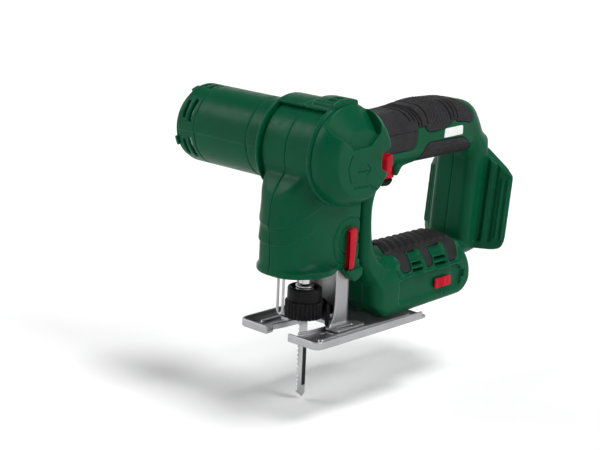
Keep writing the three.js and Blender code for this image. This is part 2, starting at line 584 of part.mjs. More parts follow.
// ---- foot lever, foot bracket and foot plate --------------------------------------------------------
const leverSide = outline([[-14.6, 69], [-13, 71.4, 2], [-9.4, 70.6, 2], [-8.6, 68], [-9.6, 44.4, 1],
  [-14, 43.8, 1]]);
part('foot_lever', prism('X', leverSide, HEAD.half + GAP, 24.8, { bevel: 1 }), red());
part('lever_pin', rod('X', LEVER.y, LEVER.z, LEVER.pin - GAP, 15, HEAD.half + 0.1, 12), steel());

const ARM = { x: 15.8, t: 1.8, y0: -19.5, y1: -6.6, top: 57 };
function footBracket() {
  const { x, t, y0, y1, top } = ARM;
  const u = (grow) => outline([[-x - grow, y0 - 8 + (grow ? 0 : -8)], [-x - grow, y1 + grow, 3 + grow],
    [x + grow, y1 + grow, 3 + grow], [x + grow, y0 - 8 + (grow ? 0 : -8)]]);
  const channel = cut(prism('Z', u(t), 3.9, top), prism('Z', u(0), 0, FAR));
  const sideView = outline([[-26, 0], [-25.5, 4.4], [-20.5, 11, 3], [y0, 17], [y0, FAR], [10, FAR], [10, 0]]);
  let solid = channel.intersect(prism('X', sideView, -FAR, FAR));
  for (const s of [-1, 1]) {
    solid = solid.add(sideBox(s, x, 26, -25.5, 1.5, 3.5, 5.1));
    solid = cut(solid, sideBox(s, 21, 23.4, -22, -6, 0, 10));
  }
  return solid;
}
part('foot_bracket', footBracket(), steel());

part('chip_shield', cut(
  ring('Z', 0, SPINDLE_Y, 16.6, 14.4, 5.5, 20, FINE).add(box(-5, 5, -15, ARM.y1 - GAP, 8, 14)),
  box(-FAR, FAR, -FAR, SPINDLE_Y + 6, 0, FAR),
), black());

function footPlate() {
  const { w, l, t, rim, front, rear } = PLATE;
  const base = (inset) => {
    const [x, y] = [w / 2 - inset, l / 2 - inset];
    return outline([[-x, -y, front], [x, -y, front], [x, y, rear], [-x, y, rear]]);
  };
  const outer = prism('Z', base(0), 0, rim, { bevel: 0.8, steps: 1 });
  const dish = prism('Z', base(t), t, FAR);
  const beads = [-BEAD.x, BEAD.x].map((x) => {
    const bead = rectangle(x - BEAD.half, x + BEAD.half, BEAD.y0, BEAD.y1, BEAD.half);
    return prism('Z', bead, BEAD.root, t + BEAD.h, { bevel: 1, steps: 1 });
  });
  let solid = join(cut(outer, dish), ...beads);
  solid = cut(solid, box(-SLOT.half, SLOT.half, -FAR, SLOT.end, -1, FAR),
    prism('Z', rectangle(SLOT.mouthLeft, SLOT.half, -FAR, -46), -1, FAR),
    box(-WINDOW.half, WINDOW.half, WINDOW.y0, WINDOW.y1, -1, FAR),
    prism('Z', outline([[-NOTCH.half - 3, FAR], [-NOTCH.half - 3, l / 2], [-NOTCH.half, l / 2 - NOTCH.depth],
      [NOTCH.half, l / 2 - NOTCH.depth], [NOTCH.half + 3, l / 2], [NOTCH.half + 3, FAR]]), -1, FAR),
    box(-FAR, FAR, l / 2 - LOW_RIM.l, FAR, t + LOW_RIM.h, FAR));
  for (const s of [-1, 1]) {
    solid = solid.add(sideBox(s, 16, 27, -27, 3, 0.5, 3.2));
  }
  return solid;
}
part('foot_plate', footPlate(), steel());

export default tool;
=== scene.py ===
"""Looks of the swing-head jigsaw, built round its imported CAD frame. Sizes in this file are in millimetres."""
import json
import math

import bpy
import numpy as np
from mathutils import Matrix, Vector


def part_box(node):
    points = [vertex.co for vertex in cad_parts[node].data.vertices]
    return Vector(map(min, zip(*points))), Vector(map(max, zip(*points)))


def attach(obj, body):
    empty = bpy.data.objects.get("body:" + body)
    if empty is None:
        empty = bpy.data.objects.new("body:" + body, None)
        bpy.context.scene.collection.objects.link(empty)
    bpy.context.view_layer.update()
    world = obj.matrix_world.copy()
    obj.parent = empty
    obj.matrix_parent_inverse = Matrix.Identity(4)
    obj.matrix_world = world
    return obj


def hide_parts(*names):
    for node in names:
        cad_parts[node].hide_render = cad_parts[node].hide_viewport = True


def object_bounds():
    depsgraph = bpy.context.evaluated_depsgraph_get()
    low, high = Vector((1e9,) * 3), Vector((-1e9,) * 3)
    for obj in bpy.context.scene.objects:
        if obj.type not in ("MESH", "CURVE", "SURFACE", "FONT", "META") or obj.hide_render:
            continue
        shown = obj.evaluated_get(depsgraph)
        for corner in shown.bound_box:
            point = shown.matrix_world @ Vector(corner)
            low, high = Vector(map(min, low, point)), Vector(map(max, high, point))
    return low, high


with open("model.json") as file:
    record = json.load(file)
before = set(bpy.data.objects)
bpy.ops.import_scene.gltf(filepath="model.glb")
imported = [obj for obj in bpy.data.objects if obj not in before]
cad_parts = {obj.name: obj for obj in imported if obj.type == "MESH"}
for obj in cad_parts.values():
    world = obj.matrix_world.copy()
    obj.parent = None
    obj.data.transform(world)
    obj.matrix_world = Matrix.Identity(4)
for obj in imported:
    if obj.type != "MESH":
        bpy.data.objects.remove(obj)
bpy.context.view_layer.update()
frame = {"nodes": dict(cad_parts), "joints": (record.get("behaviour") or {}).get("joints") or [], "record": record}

MM = 0.001


# ---- fields: signed distances in millimetres, negative inside --------------------------------------
class Grid:
    """Sample points of a box, a step apart, as three arrays that broadcast together."""

    def __init__(self, low, high, step):
        self.step = step
        self.low = np.array(low, float) - 2.5 * step
        count = np.ceil((np.array(high, float) - self.low) / step).astype(int) + 3
        line = [(self.low[i] + step * np.arange(count[i])).astype(np.float32) for i in range(3)]
        self.x = line[0][:, None, None]
        self.y = line[1][None, :, None]
        self.z = line[2][None, None, :]


def both(a, b, r=0.0):
    """Intersection, with its edge rounded by r."""
    if r <= 0:
        return np.maximum(a, b)
    u = np.maximum(a + r, 0)
    v = np.maximum(b + r, 0)
    return np.minimum(-r, np.maximum(a, b)) + np.sqrt(u * u + v * v)


def either(a, b, r=0.0):
    """Union, with its inner corner filled by r."""
    if r <= 0:
        return np.minimum(a, b)
    return -both(-a, -b, r)


def less(a, b, r=0.0):
    return both(a, -b, r)


def engrave(body, mark, depth, r=0.0):
    """Sinks the mark into the body's surface."""
    return less(body, np.maximum(mark, -(body + depth)), r)


def emboss(body, mark, height, r=0.0):
    """Raises the mark out of the body's surface."""
    return either(body, both(mark, body - height, r), r)


def outline(points):
    """Corner points, each (a, b) or (a, b, reach) for a rounded corner, as one closed list of points."""
    drawn = []
    count = len(points)
    for i, point in enumerate(points):
        corner = np.array(point[:2], float)
        reach = point[2] if len(point) > 2 else 0
        if not reach:
            drawn.append(corner)
            continue
        ends = []
        for other in (points[i - 1], points[(i + 1) % count]):
            side = np.array(other[:2], float) - corner
            length = np.linalg.norm(side)
            ends.append(corner + side / length * min(reach, 0.48 * length))
        for t in np.linspace(0, 1, 7):
            drawn.append((1 - t) ** 2 * ends[0] + 2 * t * (1 - t) * corner + t * t * ends[1])
    return drawn


def polygon(a, b, points):
    """Signed distance to a closed outline in the plane of the coordinates a and b."""
    points = outline(points)
    nearest = None
    inside = None
    for (a0, b0), (a1, b1) in zip(points, points[1:] + points[:1]):
        da, db = a1 - a0, b1 - b0
        length = da * da + db * db
        if length < 1e-9:
            continue
        t = np.clip(((a - a0) * da + (b - b0) * db) / length, 0, 1)
        d = (a - a0 - t * da) ** 2 + (b - b0 - t * db) ** 2
        nearest = d if nearest is None else np.minimum(nearest, d)
        if abs(db) > 1e-9:
            crossed = ((b0 > b) != (b1 > b)) & (a < a0 + (b - b0) * da / db)
            inside = crossed if inside is None else inside ^ crossed
    return np.where(inside, -1, 1) * np.sqrt(nearest)


def path(a, b, points):
    """Distance to an open line through points in a plane."""
    nearest = None
    for (a0, b0), (a1, b1) in zip(points, points[1:]):
        da, db = a1 - a0, b1 - b0
        t = np.clip(((a - a0) * da + (b - b0) * db) / (da * da + db * db), 0, 1)
        d = (a - a0 - t * da) ** 2 + (b - b0 - t * db) ** 2
        nearest = d if nearest is None else np.minimum(nearest, d)
    return np.sqrt(nearest)


def disc(a, b, r):
    return np.sqrt(a * a + b * b) - r


def span(a, low, high):
    return np.abs(a - (low + high) / 2) - (high - low) / 2


def block(g, low, high, r=0.0):
    plan = both(span(g.x, low[0], high[0]), span(g.y, low[1], high[1]), r)
    return both(plan, span(g.z, low[2], high[2]), r)


def slab(a, b, low, high, r=0.0):
    """A rectangle in a plane, from corner low to corner high."""
    return both(span(a, low[0], high[0]), span(b, low[1], high[1]), r)


# ---- from a field to a mesh -------------------------------------------------------------------------
CORNERS = [(i, j, k) for i in (0, 1) for j in (0, 1) for k in (0, 1)]
EDGES = [(p, q) for p in range(8) for q in range(p + 1, 8)
         if sum(abs(CORNERS[p][i] - CORNERS[q][i]) for i in range(3)) == 1]


def sample(field, at):
    """The field between its sample points; at is in steps from the grid's first point."""
    top = np.array(field.shape) - 2
    base = np.clip(np.floor(at).astype(int), 0, top)
    f = np.clip(at - base, 0, 1)
    total = 0
    for i, j, k in CORNERS:
        weight = f[:, 0] if i else 1 - f[:, 0]
        weight = weight * (f[:, 1] if j else 1 - f[:, 1])
        weight = weight * (f[:, 2] if k else 1 - f[:, 2])
        total = total + weight * field[base[:, 0] + i, base[:, 1] + j, base[:, 2] + k]
    return total


def slope(field, at, reach=0.5):
    """The field's gradient, in field units per step."""
    columns = []
    for i in range(3):
        shift = np.zeros(3)
        shift[i] = reach
        columns.append((sample(field, at + shift) - sample(field, at - shift)) / (2 * reach))
    return np.stack(columns, 1)


def net(field):
    """Surface net of the field's zero level: points in steps, and faces with their normals outwards."""
    inside = field < 0
    shape = tuple(n - 1 for n in field.shape)
    count = np.zeros(shape, np.int8)
    for i, j, k in CORNERS:
        count += inside[i:i + shape[0], j:j + shape[1], k:k + shape[2]]
    cells = np.argwhere((count > 0) & (count < 8))
    index = np.full(shape, -1, np.int64)
    index[tuple(cells.T)] = np.arange(len(cells))
    values = [field[cells[:, 0] + i, cells[:, 1] + j, cells[:, 2] + k] for i, j, k in CORNERS]
    total = np.zeros((len(cells), 3))
    hits = np.zeros(len(cells))
    for p, q in EDGES:
        cross = (values[p] < 0) != (values[q] < 0)
        t = np.where(cross, values[p] / np.where(cross, values[p] - values[q], 1), 0)
        point = np.array(CORNERS[p]) + t[:, None] * (np.array(CORNERS[q]) - np.array(CORNERS[p]))
        total += point * cross[:, None]
        hits += cross
    points = cells + total / hits[:, None]
    faces = []
    for axis in range(3):
        others = [a for a in range(3) if a != axis]
        first = [slice(None)] * 3
        second = [slice(None)] * 3
        first[axis] = slice(0, -1)
        second[axis] = slice(1, None)
        a, b = inside[tuple(first)], inside[tuple(second)]
        for change, flip in ((a & ~b, axis == 1), (~a & b, axis != 1)):
            at = np.argwhere(change)
            at = at[(at[:, others[0]] > 0) & (at[:, others[1]] > 0)
                    & (at[:, others[0]] < shape[others[0]]) & (at[:, others[1]] < shape[others[1]])]
            ring = []
            for u, v in ((1, 1), (0, 1), (0, 0), (1, 0)):
                cell = at.copy()
                cell[:, others[0]] -= u
                cell[:, others[1]] -= v
                ring.append(index[tuple(cell.T)])
            quads = np.stack(ring[::-1] if flip else ring, 1)
            faces.append(quads)
    return points, np.concatenate(faces)


def settle(field, points):
    """Moves net points onto the zero level."""
    for _ in range(3):
        value = sample(field, points)
        grade = slope(field, points)
        size = np.maximum((grade ** 2).sum(1), 1e-3)
        move = np.clip(value / size, -0.4, 0.4)[:, None] * grade
        length = np.linalg.norm(move, axis=1, keepdims=True)
        points = points - move * np.minimum(1, 0.4 / np.maximum(length, 1e-9))
    return points


def solid(name, field, grid, keep=1.0):
    """A mesh object of the field's inside, thinned to a share of its faces."""
    points, faces = net(field)
    points = settle(field, points)
    mesh = bpy.data.meshes.new(name)
    mesh.vertices.add(len(points))
    mesh.vertices.foreach_set("co", ((grid.low + points * grid.step) * MM).astype(np.float32).ravel())
    mesh.loops.add(faces.size)
    mesh.loops.foreach_set("vertex_index", faces.astype(np.int32).ravel())
    mesh.polygons.add(len(faces))
    mesh.polygons.foreach_set("loop_start", np.arange(0, faces.size, 4, dtype=np.int32))
    mesh.update(calc_edges=True)
    obj = bpy.data.objects.new(name, mesh)
    bpy.context.scene.collection.objects.link(obj)
    if keep < 1:
        thin = obj.modifiers.new("thin", "DECIMATE")
        thin.ratio = keep
        apply_modifiers(obj)
    mesh = obj.data
    co = np.zeros(len(mesh.vertices) * 3)
    mesh.vertices.foreach_get("co", co)
    at = (co.reshape(-1, 3) / MM - grid.low) / grid.step
    normal = slope(field, at, 0.8)
    normal /= np.maximum(np.linalg.norm(normal, axis=1, keepdims=True), 1e-6)
    mesh.polygons.foreach_set("use_smooth", np.ones(len(mesh.polygons), bool))
    mesh.normals_split_custom_set_from_vertices(normal.tolist())
    return obj


def apply_modifiers(obj):
    bpy.context.view_layer.update()
    graph = bpy.context.evaluated_depsgraph_get()
    mesh = bpy.data.meshes.new_from_object(obj.evaluated_get(graph))
    obj.modifiers.clear()
    old = obj.data
    obj.data = mesh
    bpy.data.meshes.remove(old)


def place(obj, node, material):
    """The piece stands for a CAD node, on that node's body, in its material slot."""
    body = next(b for b, members in frame["record"]["behaviour"]["bodies"].items() if node in members)
    obj.data.materials.clear()
    obj.data.materials.append(material)
    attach(obj, body)
    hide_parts(node)


def make(node, field, low, high, step, material, slot, keep=1.0):
    grid = Grid(low, high, step)
    place(solid(node + "_skin", field(grid), grid, keep), node, material)


def make_halves(left, right, field, low, high, step, material, slot, keep=1.0):
    """Two shell halves of one field, with a fine seam between them."""
    grid = Grid(low, high, step)
    values = field(grid)
    for node, side in ((left, 1), (right, -1)):
        half = both(values, 0.12 - side * grid.x, 0.35).astype(np.float32)
        place(solid(node + "_skin", half, grid, keep), node, material)


# ---- driving places, from the frame -------------------------------------------------------------------
JOINTS = {joint["name"]: joint for joint in frame["joints"]}
PIVOT_Y, PIVOT_Z = (value / MM for value in JOINTS["head_swing"]["pos_m"][1:])
SPINDLE_Y = JOINTS["collar_twist"]["pos_m"][1] / MM
LEVER_Y, LEVER_Z = (value / MM for value in JOINTS["foot_lever_turn"]["pos_m"][1:])


def cad(node):
    """A CAD node's lowest and highest corner in millimetres."""
    low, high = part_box(node)
    return np.array(low) / MM, np.array(high) / MM


HUB_R = 33
HUB_BORE = 30.4
SOFT = 1.8  # depth of the soft overmould
PROUD = 0.45  # how far the soft overmould stands out of the green plastic
# soft fingers down the lower housing's flanks: Y range at their lower and at their upper end
FINGERS = [(37.6, 45.6, 38.6, 51.4), (63.1, 69.4, 66.4, 74.4), (87.5, 95.8, 92, 104)]
VENTS = [[(47.2, 30.9), (58.6, 30.9), (60.8, 44), (53.6, 44)],
         [(71.2, 30.9), (84.2, 30.9), (87.4, 44), (76.4, 44)]]
LEAN = 0.1056  # the dock leans back by this much for each millimetre up
DOCK_Z = 36
DOCK_FRONT = 125  # Y of the dock's front face at its foot
WING_X = 18  # the dock's wings start here and sweep back by SWEEP for each millimetre outwards
SWEEP = 0.61
DOCK_FLOOR = 132.4
FAR = 300  # past everything
BODY_SCREWS = [cad(f"body_screw_{i + 1}") for i in range(5)]
HEAD_SCREWS = [cad("head_screw_1"), cad("head_screw_2")]


def middle(low, high):
    """Y and Z of the middle of a box."""
    return (low[1] + high[1]) / 2, (low[2] + high[2]) / 2


# ---- body -----------------------------------------------------------------------------------------------
def grip_field(g):
    half = 18.2 + 1.3 * np.exp(-((g.y - 8) / 15) ** 2) + 0.7 * np.exp(-((g.y - 84) / 20) ** 2)
    side = polygon(g.y, g.z, [(-4, 104), (-4, 141), (12, 138.9, 8), (30, 138.2, 8), (47, 139, 8),
                              (62, 140.9, 8), (77, 142.1, 8), (92, 141.8, 8), (106, 141, 8), (117, 139.4, 7),
                              (124, 135.2, 5), (129.2, 128, 5), (133.2, 121, 5), (137.6, 111.3, 5),
                              (139.4, 104, 4), (137, 98.6, 4), (130, 98.8, 5), (121, 103.3, 8),
                              (60, 102.7, 10), (20, 102.7)])
    return both(side, np.abs(g.x) - half, 12.5)


def housing_field(g):
    side = polygon(g.y, g.z, [(2, 60), (8.4, 30, 8), (9.8, 15, 3), (19.6, 5.3, 4), (102, 7.6, 5),
                              (110, 15, 5), (108.6, 34, 6), (105, 48, 4), (24, 48), (10, 60, 5)])
    ax = np.abs(g.x)
    crown = (np.sqrt((ax / 28) ** 2 + np.maximum((g.z - 22) / 24, 0) ** 2) - 1) * 27
    return both(both(side, crown, 3), both(9.8 - g.y, ax - 28, 7))


def upper_soft_zone(g):
    return polygon(g.y, g.z, [(5.3, 170), (5.3, 113.8), (46.7, 113.5, 3), (52.9, 115.1, 3), (53.9, 119.3, 3),
                              (53.9, 128.2, 0.8), (61.8, 128.4, 1), (64.3, 124.1, 2.5), (76.1, 123.5, 6),
                              (89.4, 127.3, 1.5), (90.9, 129.6, 0.8), (94.3, 129.4, 0.8), (95.8, 127.6, 1),
                              (103.2, 127.2, 3), (112.6, 125.2, 3), (115, 129.8, 3), (112.6, 134, 3),
                              (104, 143, 3), (104, 170)])


def under_soft_zone(g):
    return polygon(g.y, g.z, [(60.3, 80), (61.6, 104.9), (61.6, 107.3, 2), (62.9, 112.9, 3), (67.2, 116.8, 3),
                              (104, 116.4, 4), (109.4, 113, 4), (116.6, 107), (112, 80)])


def pad_zone(g):
    """The soft pad on top of the lower housing; its front edge is drawn back in the middle."""
    ax = np.abs(g.x)
    ends = both(g.y - 104.4, (33 + 0.6 * np.abs(12 - ax)) - g.y)
    return both(both(ax - 14.5, ends, 2.5), 38 - g.z)


def lower_soft_zone(g, grow=0.0):
    zone = pad_zone(g) - grow
    for a0, a1, b0, b1 in FINGERS:
        finger = polygon(g.y, g.z, [(a0, 31.8, 2.5), (a1, 31.8, 2.5), (b1, 42.6), (b1, 60),
                                    (b0, 60), (b0, 42.6)])
        zone = either(zone, both(finger - grow, 11 - np.abs(g.x)), 1.4)
    return zone


def head_space(g):
    """Room that the head turns in: a bore, open to the front and below, and the barrel's bore."""
    a, b = g.y - PIVOT_Y, g.z - PIVOT_Z
    across = span(g.x, -21.3, 20.7)
    turn = math.radians(116)
    ahead = polygon(a, b, [(0, 0), (FAR * math.cos(turn), FAR * math.sin(turn)), (-FAR, FAR), (-FAR, -FAR),
                           (26, -FAR), (26, -8)])
    room = both(either(disc(a, b, HUB_BORE), ahead), across)
    return either(room, both(disc(a, b, 26.7), g.x))


def wing_front(lean, out):
    """Y of the dock's front face, out millimetres outside the start of its wings."""
    return DOCK_FRONT + lean + SWEEP * out


def dock_field(g):
    """The battery dock, whose wings sweep back on both sides; two beads run down each of them."""
    lean = (g.z - DOCK_Z) * LEAN
    ax = np.abs(g.x)
    front = wing_front(lean, np.maximum(ax - WING_X, 0))
    slab_y = both((front - g.y) * 0.87, g.y - (138.2 + lean), 1.2)
    arch = polygon(ax, g.z, [(-5, 33), (33, 33, 6), (36, 40, 3), (36, 86, 2), (30, 91.5, 2), (9, 104.4, 6),
                             (-5, 105)])
    dock = both(slab_y, arch, 1.6)
    for x in (30.6, 34.0):
        bead = both(disc(ax - x, g.y - wing_front(lean, x - WING_X), 1.1), span(g.z, 41, 84), 1)
        dock = either(dock, bead, 0.6)
    for x, r in ((19.6, 2.4), (26.4, 1.2)):
        groove = both(disc(ax - x, g.y - wing_front(lean, x - WING_X) - 0.2, r), span(g.z, 38, 100), 2)
        dock = less(dock, groove, 1)
    return dock


def dock_recess(g):
    """The channel that the battery slides into, left solid where its two rails stand."""
    lean = (g.z - DOCK_Z) * LEAN
    ax = np.abs(g.x)
    deep = DOCK_FLOOR + lean + 0.4 * np.maximum(ax - 20, 0) - g.y
    channel = both(both(deep, ax - 30, 1), g.z - 88)
    rail = both(span(g.y - lean, 135.8, 138), 25.6 - ax, 0.6)
    return less(channel, both(rail, g.z - 84, 0.6))


def housing_relief(g, body, housing):
    """Raised side, sunk panel with its ledge, vents and the line round the soft fingers."""
    y, z, ax = g.y, g.z, np.abs(g.x)
    raised = polygon(y, z, [(28.5, 60), (26.3, 43.4, 3), (21.7, 37.7, 3), (16.7, 31.3, 3), (11.9, 28.8, 2),
                            (-9, 28), (-9, -9), (120, -9), (120, 60)])
    body = emboss(body, both(both(raised, 15 - ax), housing - 2), 0.7, 0.4)
    panel = polygon(y, z, [(32.4, 27.6, 3), (31.6, 12.8, 3), (36, 10.6, 3), (97, 12.2, 4), (99.6, 17, 3),
                           (98.6, 26.4, 3), (96, 28.6, 3), (36, 28, 3)])
    ledge = 1.9 * np.clip((z - 11.2) / 3.2, 0, 1) - 0.7
    body = less(body, both(both(panel, 24 - ax), -(housing + ledge)), 0.5)
    body = less(body, both(both(slab(y, z, (98.6, 19.2), (102, 24.6), 0.8), 24 - ax), -(housing + 1.6)), 0.4)
    body = engrave(body, both(slab(y, z, (79.6, 10), (80.4, 15)), 24 - ax), 0.6, 0.15)
    line = path(y, z, [(38.4, 42.6), (37.3, 38), (32.9, 34.6), (33.3, 30.8), (36, 29.6), (99.4, 30.2),
                       (101.6, 33), (105.6, 42)]) - 0.5
    body = emboss(body, both(line, 13 - ax), 1.3, 0.3)
    for zone in VENTS:
        body = emboss(body, both(np.abs(polygon(y, z, zone) - 1.3) - 0.4, 13 - ax), 1.2, 0.25)
        ribs = np.abs(((z - 30.2) % 3.4) - 1.7) - 0.95
        deep = np.where(z < 37.2, 6.0, 0.9)
        body = less(body, both(both(both(polygon(y, z, zone), ribs), 13 - ax), -(body + deep)), 0.3)
    return body


def saddle_block(g, a, b):
    """Raised block with small windows, on top of the hub."""
    saddle = both(both(disc(a, b, HUB_R + 2.5), span(g.y, -38, -14), 1.2), span(g.x, 6, 23.6), 1.2)
    saddle = both(saddle, -b)
    for y0, y1 in ((-34.4, -30.4), (-28.4, -24.4), (-22.4, -18.4)):
        window = slab(g.x, g.y, (14.5, y0), (21.5, y1), 0.8)
        saddle = less(saddle, both(window, (HUB_R + 0.8) - disc(a, b, 0)), 0.3)
    return saddle


def body_field(g):
    y, z, ax = g.y, g.z, np.abs(g.x)
    a, b = y - PIVOT_Y, z - PIVOT_Z
    column = both(polygon(y, z, [(1.6, 100), (1.6, 44), (8, 30), (27, 36), (14, 52, 8), (11.2, 66, 8),
                                 (10.8, 84, 8), (18, 98, 8), (30, 106), (4, 112), (-4, 130), (-12, 120)]),
                  ax - 21.5, 6)
    lip = both(polygon(y, z, [(40, 109), (42.5, 95.2, 1.5), (46, 94.6, 1.5), (48.4, 98.4, 2),
                              (50.4, 100.7, 3), (56.2, 102.1, 2), (61, 103), (61, 109)]), ax - 11, 3)
    rear = both(polygon(y, z, [(114.2, 40), (120.3, 112), (137, 112), (137, 31, 5), (124, 28.5, 5),
                               (100, 28.5), (100, 40)]), ax - 17.4, 7)
    hub = both(disc(a, b, HUB_R), ax - 24, 2.2)
    hub = either(hub, saddle_block(g, a, b), 0.8)
    housing = housing_field(g)
    grip = grip_field(g)
    body = either(either(grip, column, 7), lip, 3)
    body = either(body, rear, 7)
    body = either(body, housing, 5)
    body = either(body, hub, 2.5)
    body = either(body, dock_field(g), 1.5)

    shaft = both(polygon(y, z, [(2, 42), (4, 110), (18, 110), (8, 86), (8, 60), (16, 42)]), ax - 17.5)
    inner = either(either(grip + 4.6, shaft), housing + 4.4)
    inner = both(inner, -head_space(g) + 2.4)
    inner = both(inner, g.y - 129.5 - (z - DOCK_Z) * LEAN)
    for low, high in BODY_SCREWS:
        cy, cz = middle(low, high)
        inner = less(inner, disc(y - cy, z - cz, 4.4))
    body = less(body, inner, 0.8)
    body = housing_relief(g, body, housing)

    soft = either(upper_soft_zone(g), under_soft_zone(g))
    body = less(body, both(both(soft - 0.25, -(grip + SOFT + 0.3)), grip - 2), 0.3)
    body = less(body, both(lower_soft_zone(g, 0.25), both(-(housing + SOFT + 0.3), housing - 3)), 0.3)
    body = less(body, head_space(g), 0.6)
    body = less(body, dock_recess(g), 0.6)
    body = less(body, block(g, (-8.2, 29, 80), (8.2, 53, 108), 1), 0.6)
    body = less(body, block(g, (7.5, 5.7, 103.6), (60, 19.3, 122.4), 0.8), 0.5)
    low, high = cad("storage_slider")
    body = less(body, block(g, (26.4, low[1] - 0.8, low[2] - 1), (60, high[1] + 9.8, high[2] + 1), 1.2), 0.4)
    for low, high in BODY_SCREWS:
        cy, cz = middle(low, high)
        body = less(body, both(disc(y - cy, z - cz, 3.9), g.x + 9.7), 0.5)
        body = less(body, both(disc(y - cy, z - cz, 1.9), g.x - 13))
    return body


# grooves across the upper grip: the Y and Z of their upper and of their lower end
GROOVES = [[(43.6, 142), (46.4, 133)], [(48.6, 142), (50.6, 133)], [(51.6, 142), (54.4, 129.6)],
           [(53.9, 142), (57.5, 129.6)], [(62.6, 143), (63.2, 130)], [(84.8, 143), (87.6, 130.4)],
           [(90.6, 143), (91.5, 131.6)], [(94.1, 143), (95.6, 130.4)]]


def upper_grip(g):
    grip = grip_field(g)
    y, z = g.y, g.z
    arc = np.arctan2(z - 124, g.x) * 20
    waves = np.cos(2 * math.pi * y / 3.1 + 1.1 * np.cos(2 * math.pi * arc / 6.4))
    scales = waves * np.cos(2 * math.pi * arc / 5.2)
    lean = y + 0.2 * (z - 133)
    rear_part = np.clip((lean - 65) / 2, 0, 1) * np.clip((85 - lean) / 1.5, 0, 1)
    tail_part = np.clip((lean - 97.5) / 1.5, 0, 1)
    edge = np.clip(-upper_soft_zone(g) / 2.5 - 0.4, 0, 1)
    skin = grip - PROUD - 0.34 * scales * np.maximum(rear_part, tail_part) * edge
    soft = both(skin, upper_soft_zone(g), 0.9)
    for groove in GROOVES:
        soft = engrave(soft, path(y, z, groove) - 0.75, 1.1, 0.4)
    soft = engrave(soft, both(path(y, z, [(24.7, 125.6), (51, 125.8)]) - 0.4, 12 - np.abs(g.x)), 0.6, 0.2)
    soft = less(soft, grip + SOFT)
    soft = less(soft, disc(y - PIVOT_Y, z - PIVOT_Z, HUB_R + 0.4), 0.5)
    return less(soft, both(slab(y, z, (0, 102.8), (20.2, 123.4), 1), -g.x), 0.6)


def under_grip(g):
    grip = grip_field(g)
    soft = both(grip - PROUD, under_soft_zone(g), 0.9)
    ridge = both(path(g.y, g.z, [(67.1, 111.4), (106.3, 112.5)]) - 0.6, 10 - np.abs(g.x))
    return less(emboss(soft, ridge, 0.8, 0.5), grip + SOFT)


def lower_grip(g):
    """The pad has rounded diagonal ridges on top; the fingers are smooth."""
    housing = housing_field(g)
    ridges = np.abs(np.sin(math.pi * (g.y + 0.5 * g.x) / 7)) ** 0.8
    on_top = np.clip((-pad_zone(g) - 1) / 1.5, 0, 1)
    soft = both(housing - PROUD - 1.3 * ridges * on_top, lower_soft_zone(g), 0.8)
    return less(soft, housing + SOFT)


# ---- head -----------------------------------------------------------------------------------------------
def head_outer(g):
    """The neck's outside, with two low steps round its front."""
    y, z, ax = g.y, g.z, np.abs(g.x)
    plan = polygon(ax, y, [(-8, -1), (20.3, -1), (20.3, -38, 8), (18.6, -52, 10), (11.5, -64, 8), (-8, -68)])
    side = polygon(y, z, [(-64, 40), (-65, 50, 3), (-65.5, 72.2, 0.6), (-68.3, 73.6, 0.8), (-68.3, 84, 4),
                          (-63, 98, 8), (-52, 111, 8), (-30, 119), (-8, 119), (-1, 100), (-1, 40)])
    neck = both(plan, side, 3)
    steps = np.clip((-38 - y) / 12, 0, 1)
    rise = z - 0.5 * (y + 56)
    for low in (68, 80.5):
        layer = np.clip((low + 12 - rise) / 12, 0, 1) * (rise > low)
        neck = neck - 0.9 * layer * steps
    return neck


def rim_plan(g):
    ax = np.abs(g.x)
    return polygon(ax, g.y, [(-8, -2), (17, -2), (18.6, -20, 5), (24.4, -29, 6), (26, -38, 6),
                             (24, -48, 6), (18, -58.5, 6), (9, -64.2, 5), (-8, -65)])


def head_field(g):
    y, z = g.y, g.z
    a, b = y - PIVOT_Y, z - PIVOT_Z
    drum = both(disc(a, b, 29.8), span(g.x, -20.6, 20.3), 1.5)
    neck = both(head_outer(g), 46 - z)
    rim = both(rim_plan(g), span(z, 43, 48), 1.8)
    flare = both(rim_plan(g) + 0.9 * np.maximum(z - 47, 0), span(z, 44, 54))
    head = either(either(drum, neck, 4), either(rim, flare, 0.5), 2)
    lobe = both(polygon(y, z, [(-20, 46), (-14.5, 39.8, 2), (-8, 33.8, 3), (-1, 37.6), (-1, 43.2),
                               (-19, 43.2)]), span(g.x, 18.1, 23.6), 1)
    inner_lobe = both(polygon(y, z, [(-20, 48), (-14.5, 39.8, 2), (-8, 34.4, 3), (-1, 37.8), (-1, 48)]),
                      span(g.x, 18.1, 20.3))
    head = either(either(head, lobe, 1), inner_lobe, 1)
    c, e = y - LEVER_Y, z - LEVER_Z
    on_side = both(18 - g.x, y + 1.5)
    head = engrave(head, both(both(np.abs(disc(c, e, 15.6)) - 0.55, on_side), z - 84), 0.7, 0.3)
    head = engrave(head, both(np.abs(disc(c, e, 9.2)) - 0.5, on_side), 0.6, 0.3)
    inner = both(head_outer(g) + 2.4, 20 - z)
    mouth = polygon(np.abs(g.x), y, [(-8, -3.2), (18, -3.2), (18, -38, 8), (16.4, -50, 8), (10, -60, 6),
                                     (-8, -62)])
    mouth = both(both(mouth, z - 60), 20 - z)
    inner = either(either(inner, mouth), both(disc(a, b, 27.5), np.abs(g.x) - 18))
    for low, high in HEAD_SCREWS:
        cy, cz = middle(low, high)
        inner = less(inner, disc(y - cy, z - cz, 4.2))
    head = less(head, inner, 0.8)
    head = less(head, both(disc(a, b, 23.5), g.x + 15))
    for low, high in HEAD_SCREWS:
        cy, cz = middle(low, high)
        head = less(head, both(disc(y - cy, z - cz, 3.8), g.x + 8.8), 0.5)
        head = less(head, both(disc(y - cy, z - cz, 1.9), g.x - 12))
    return less(head, both(disc(c, e, 3.3), 10 - g.x))


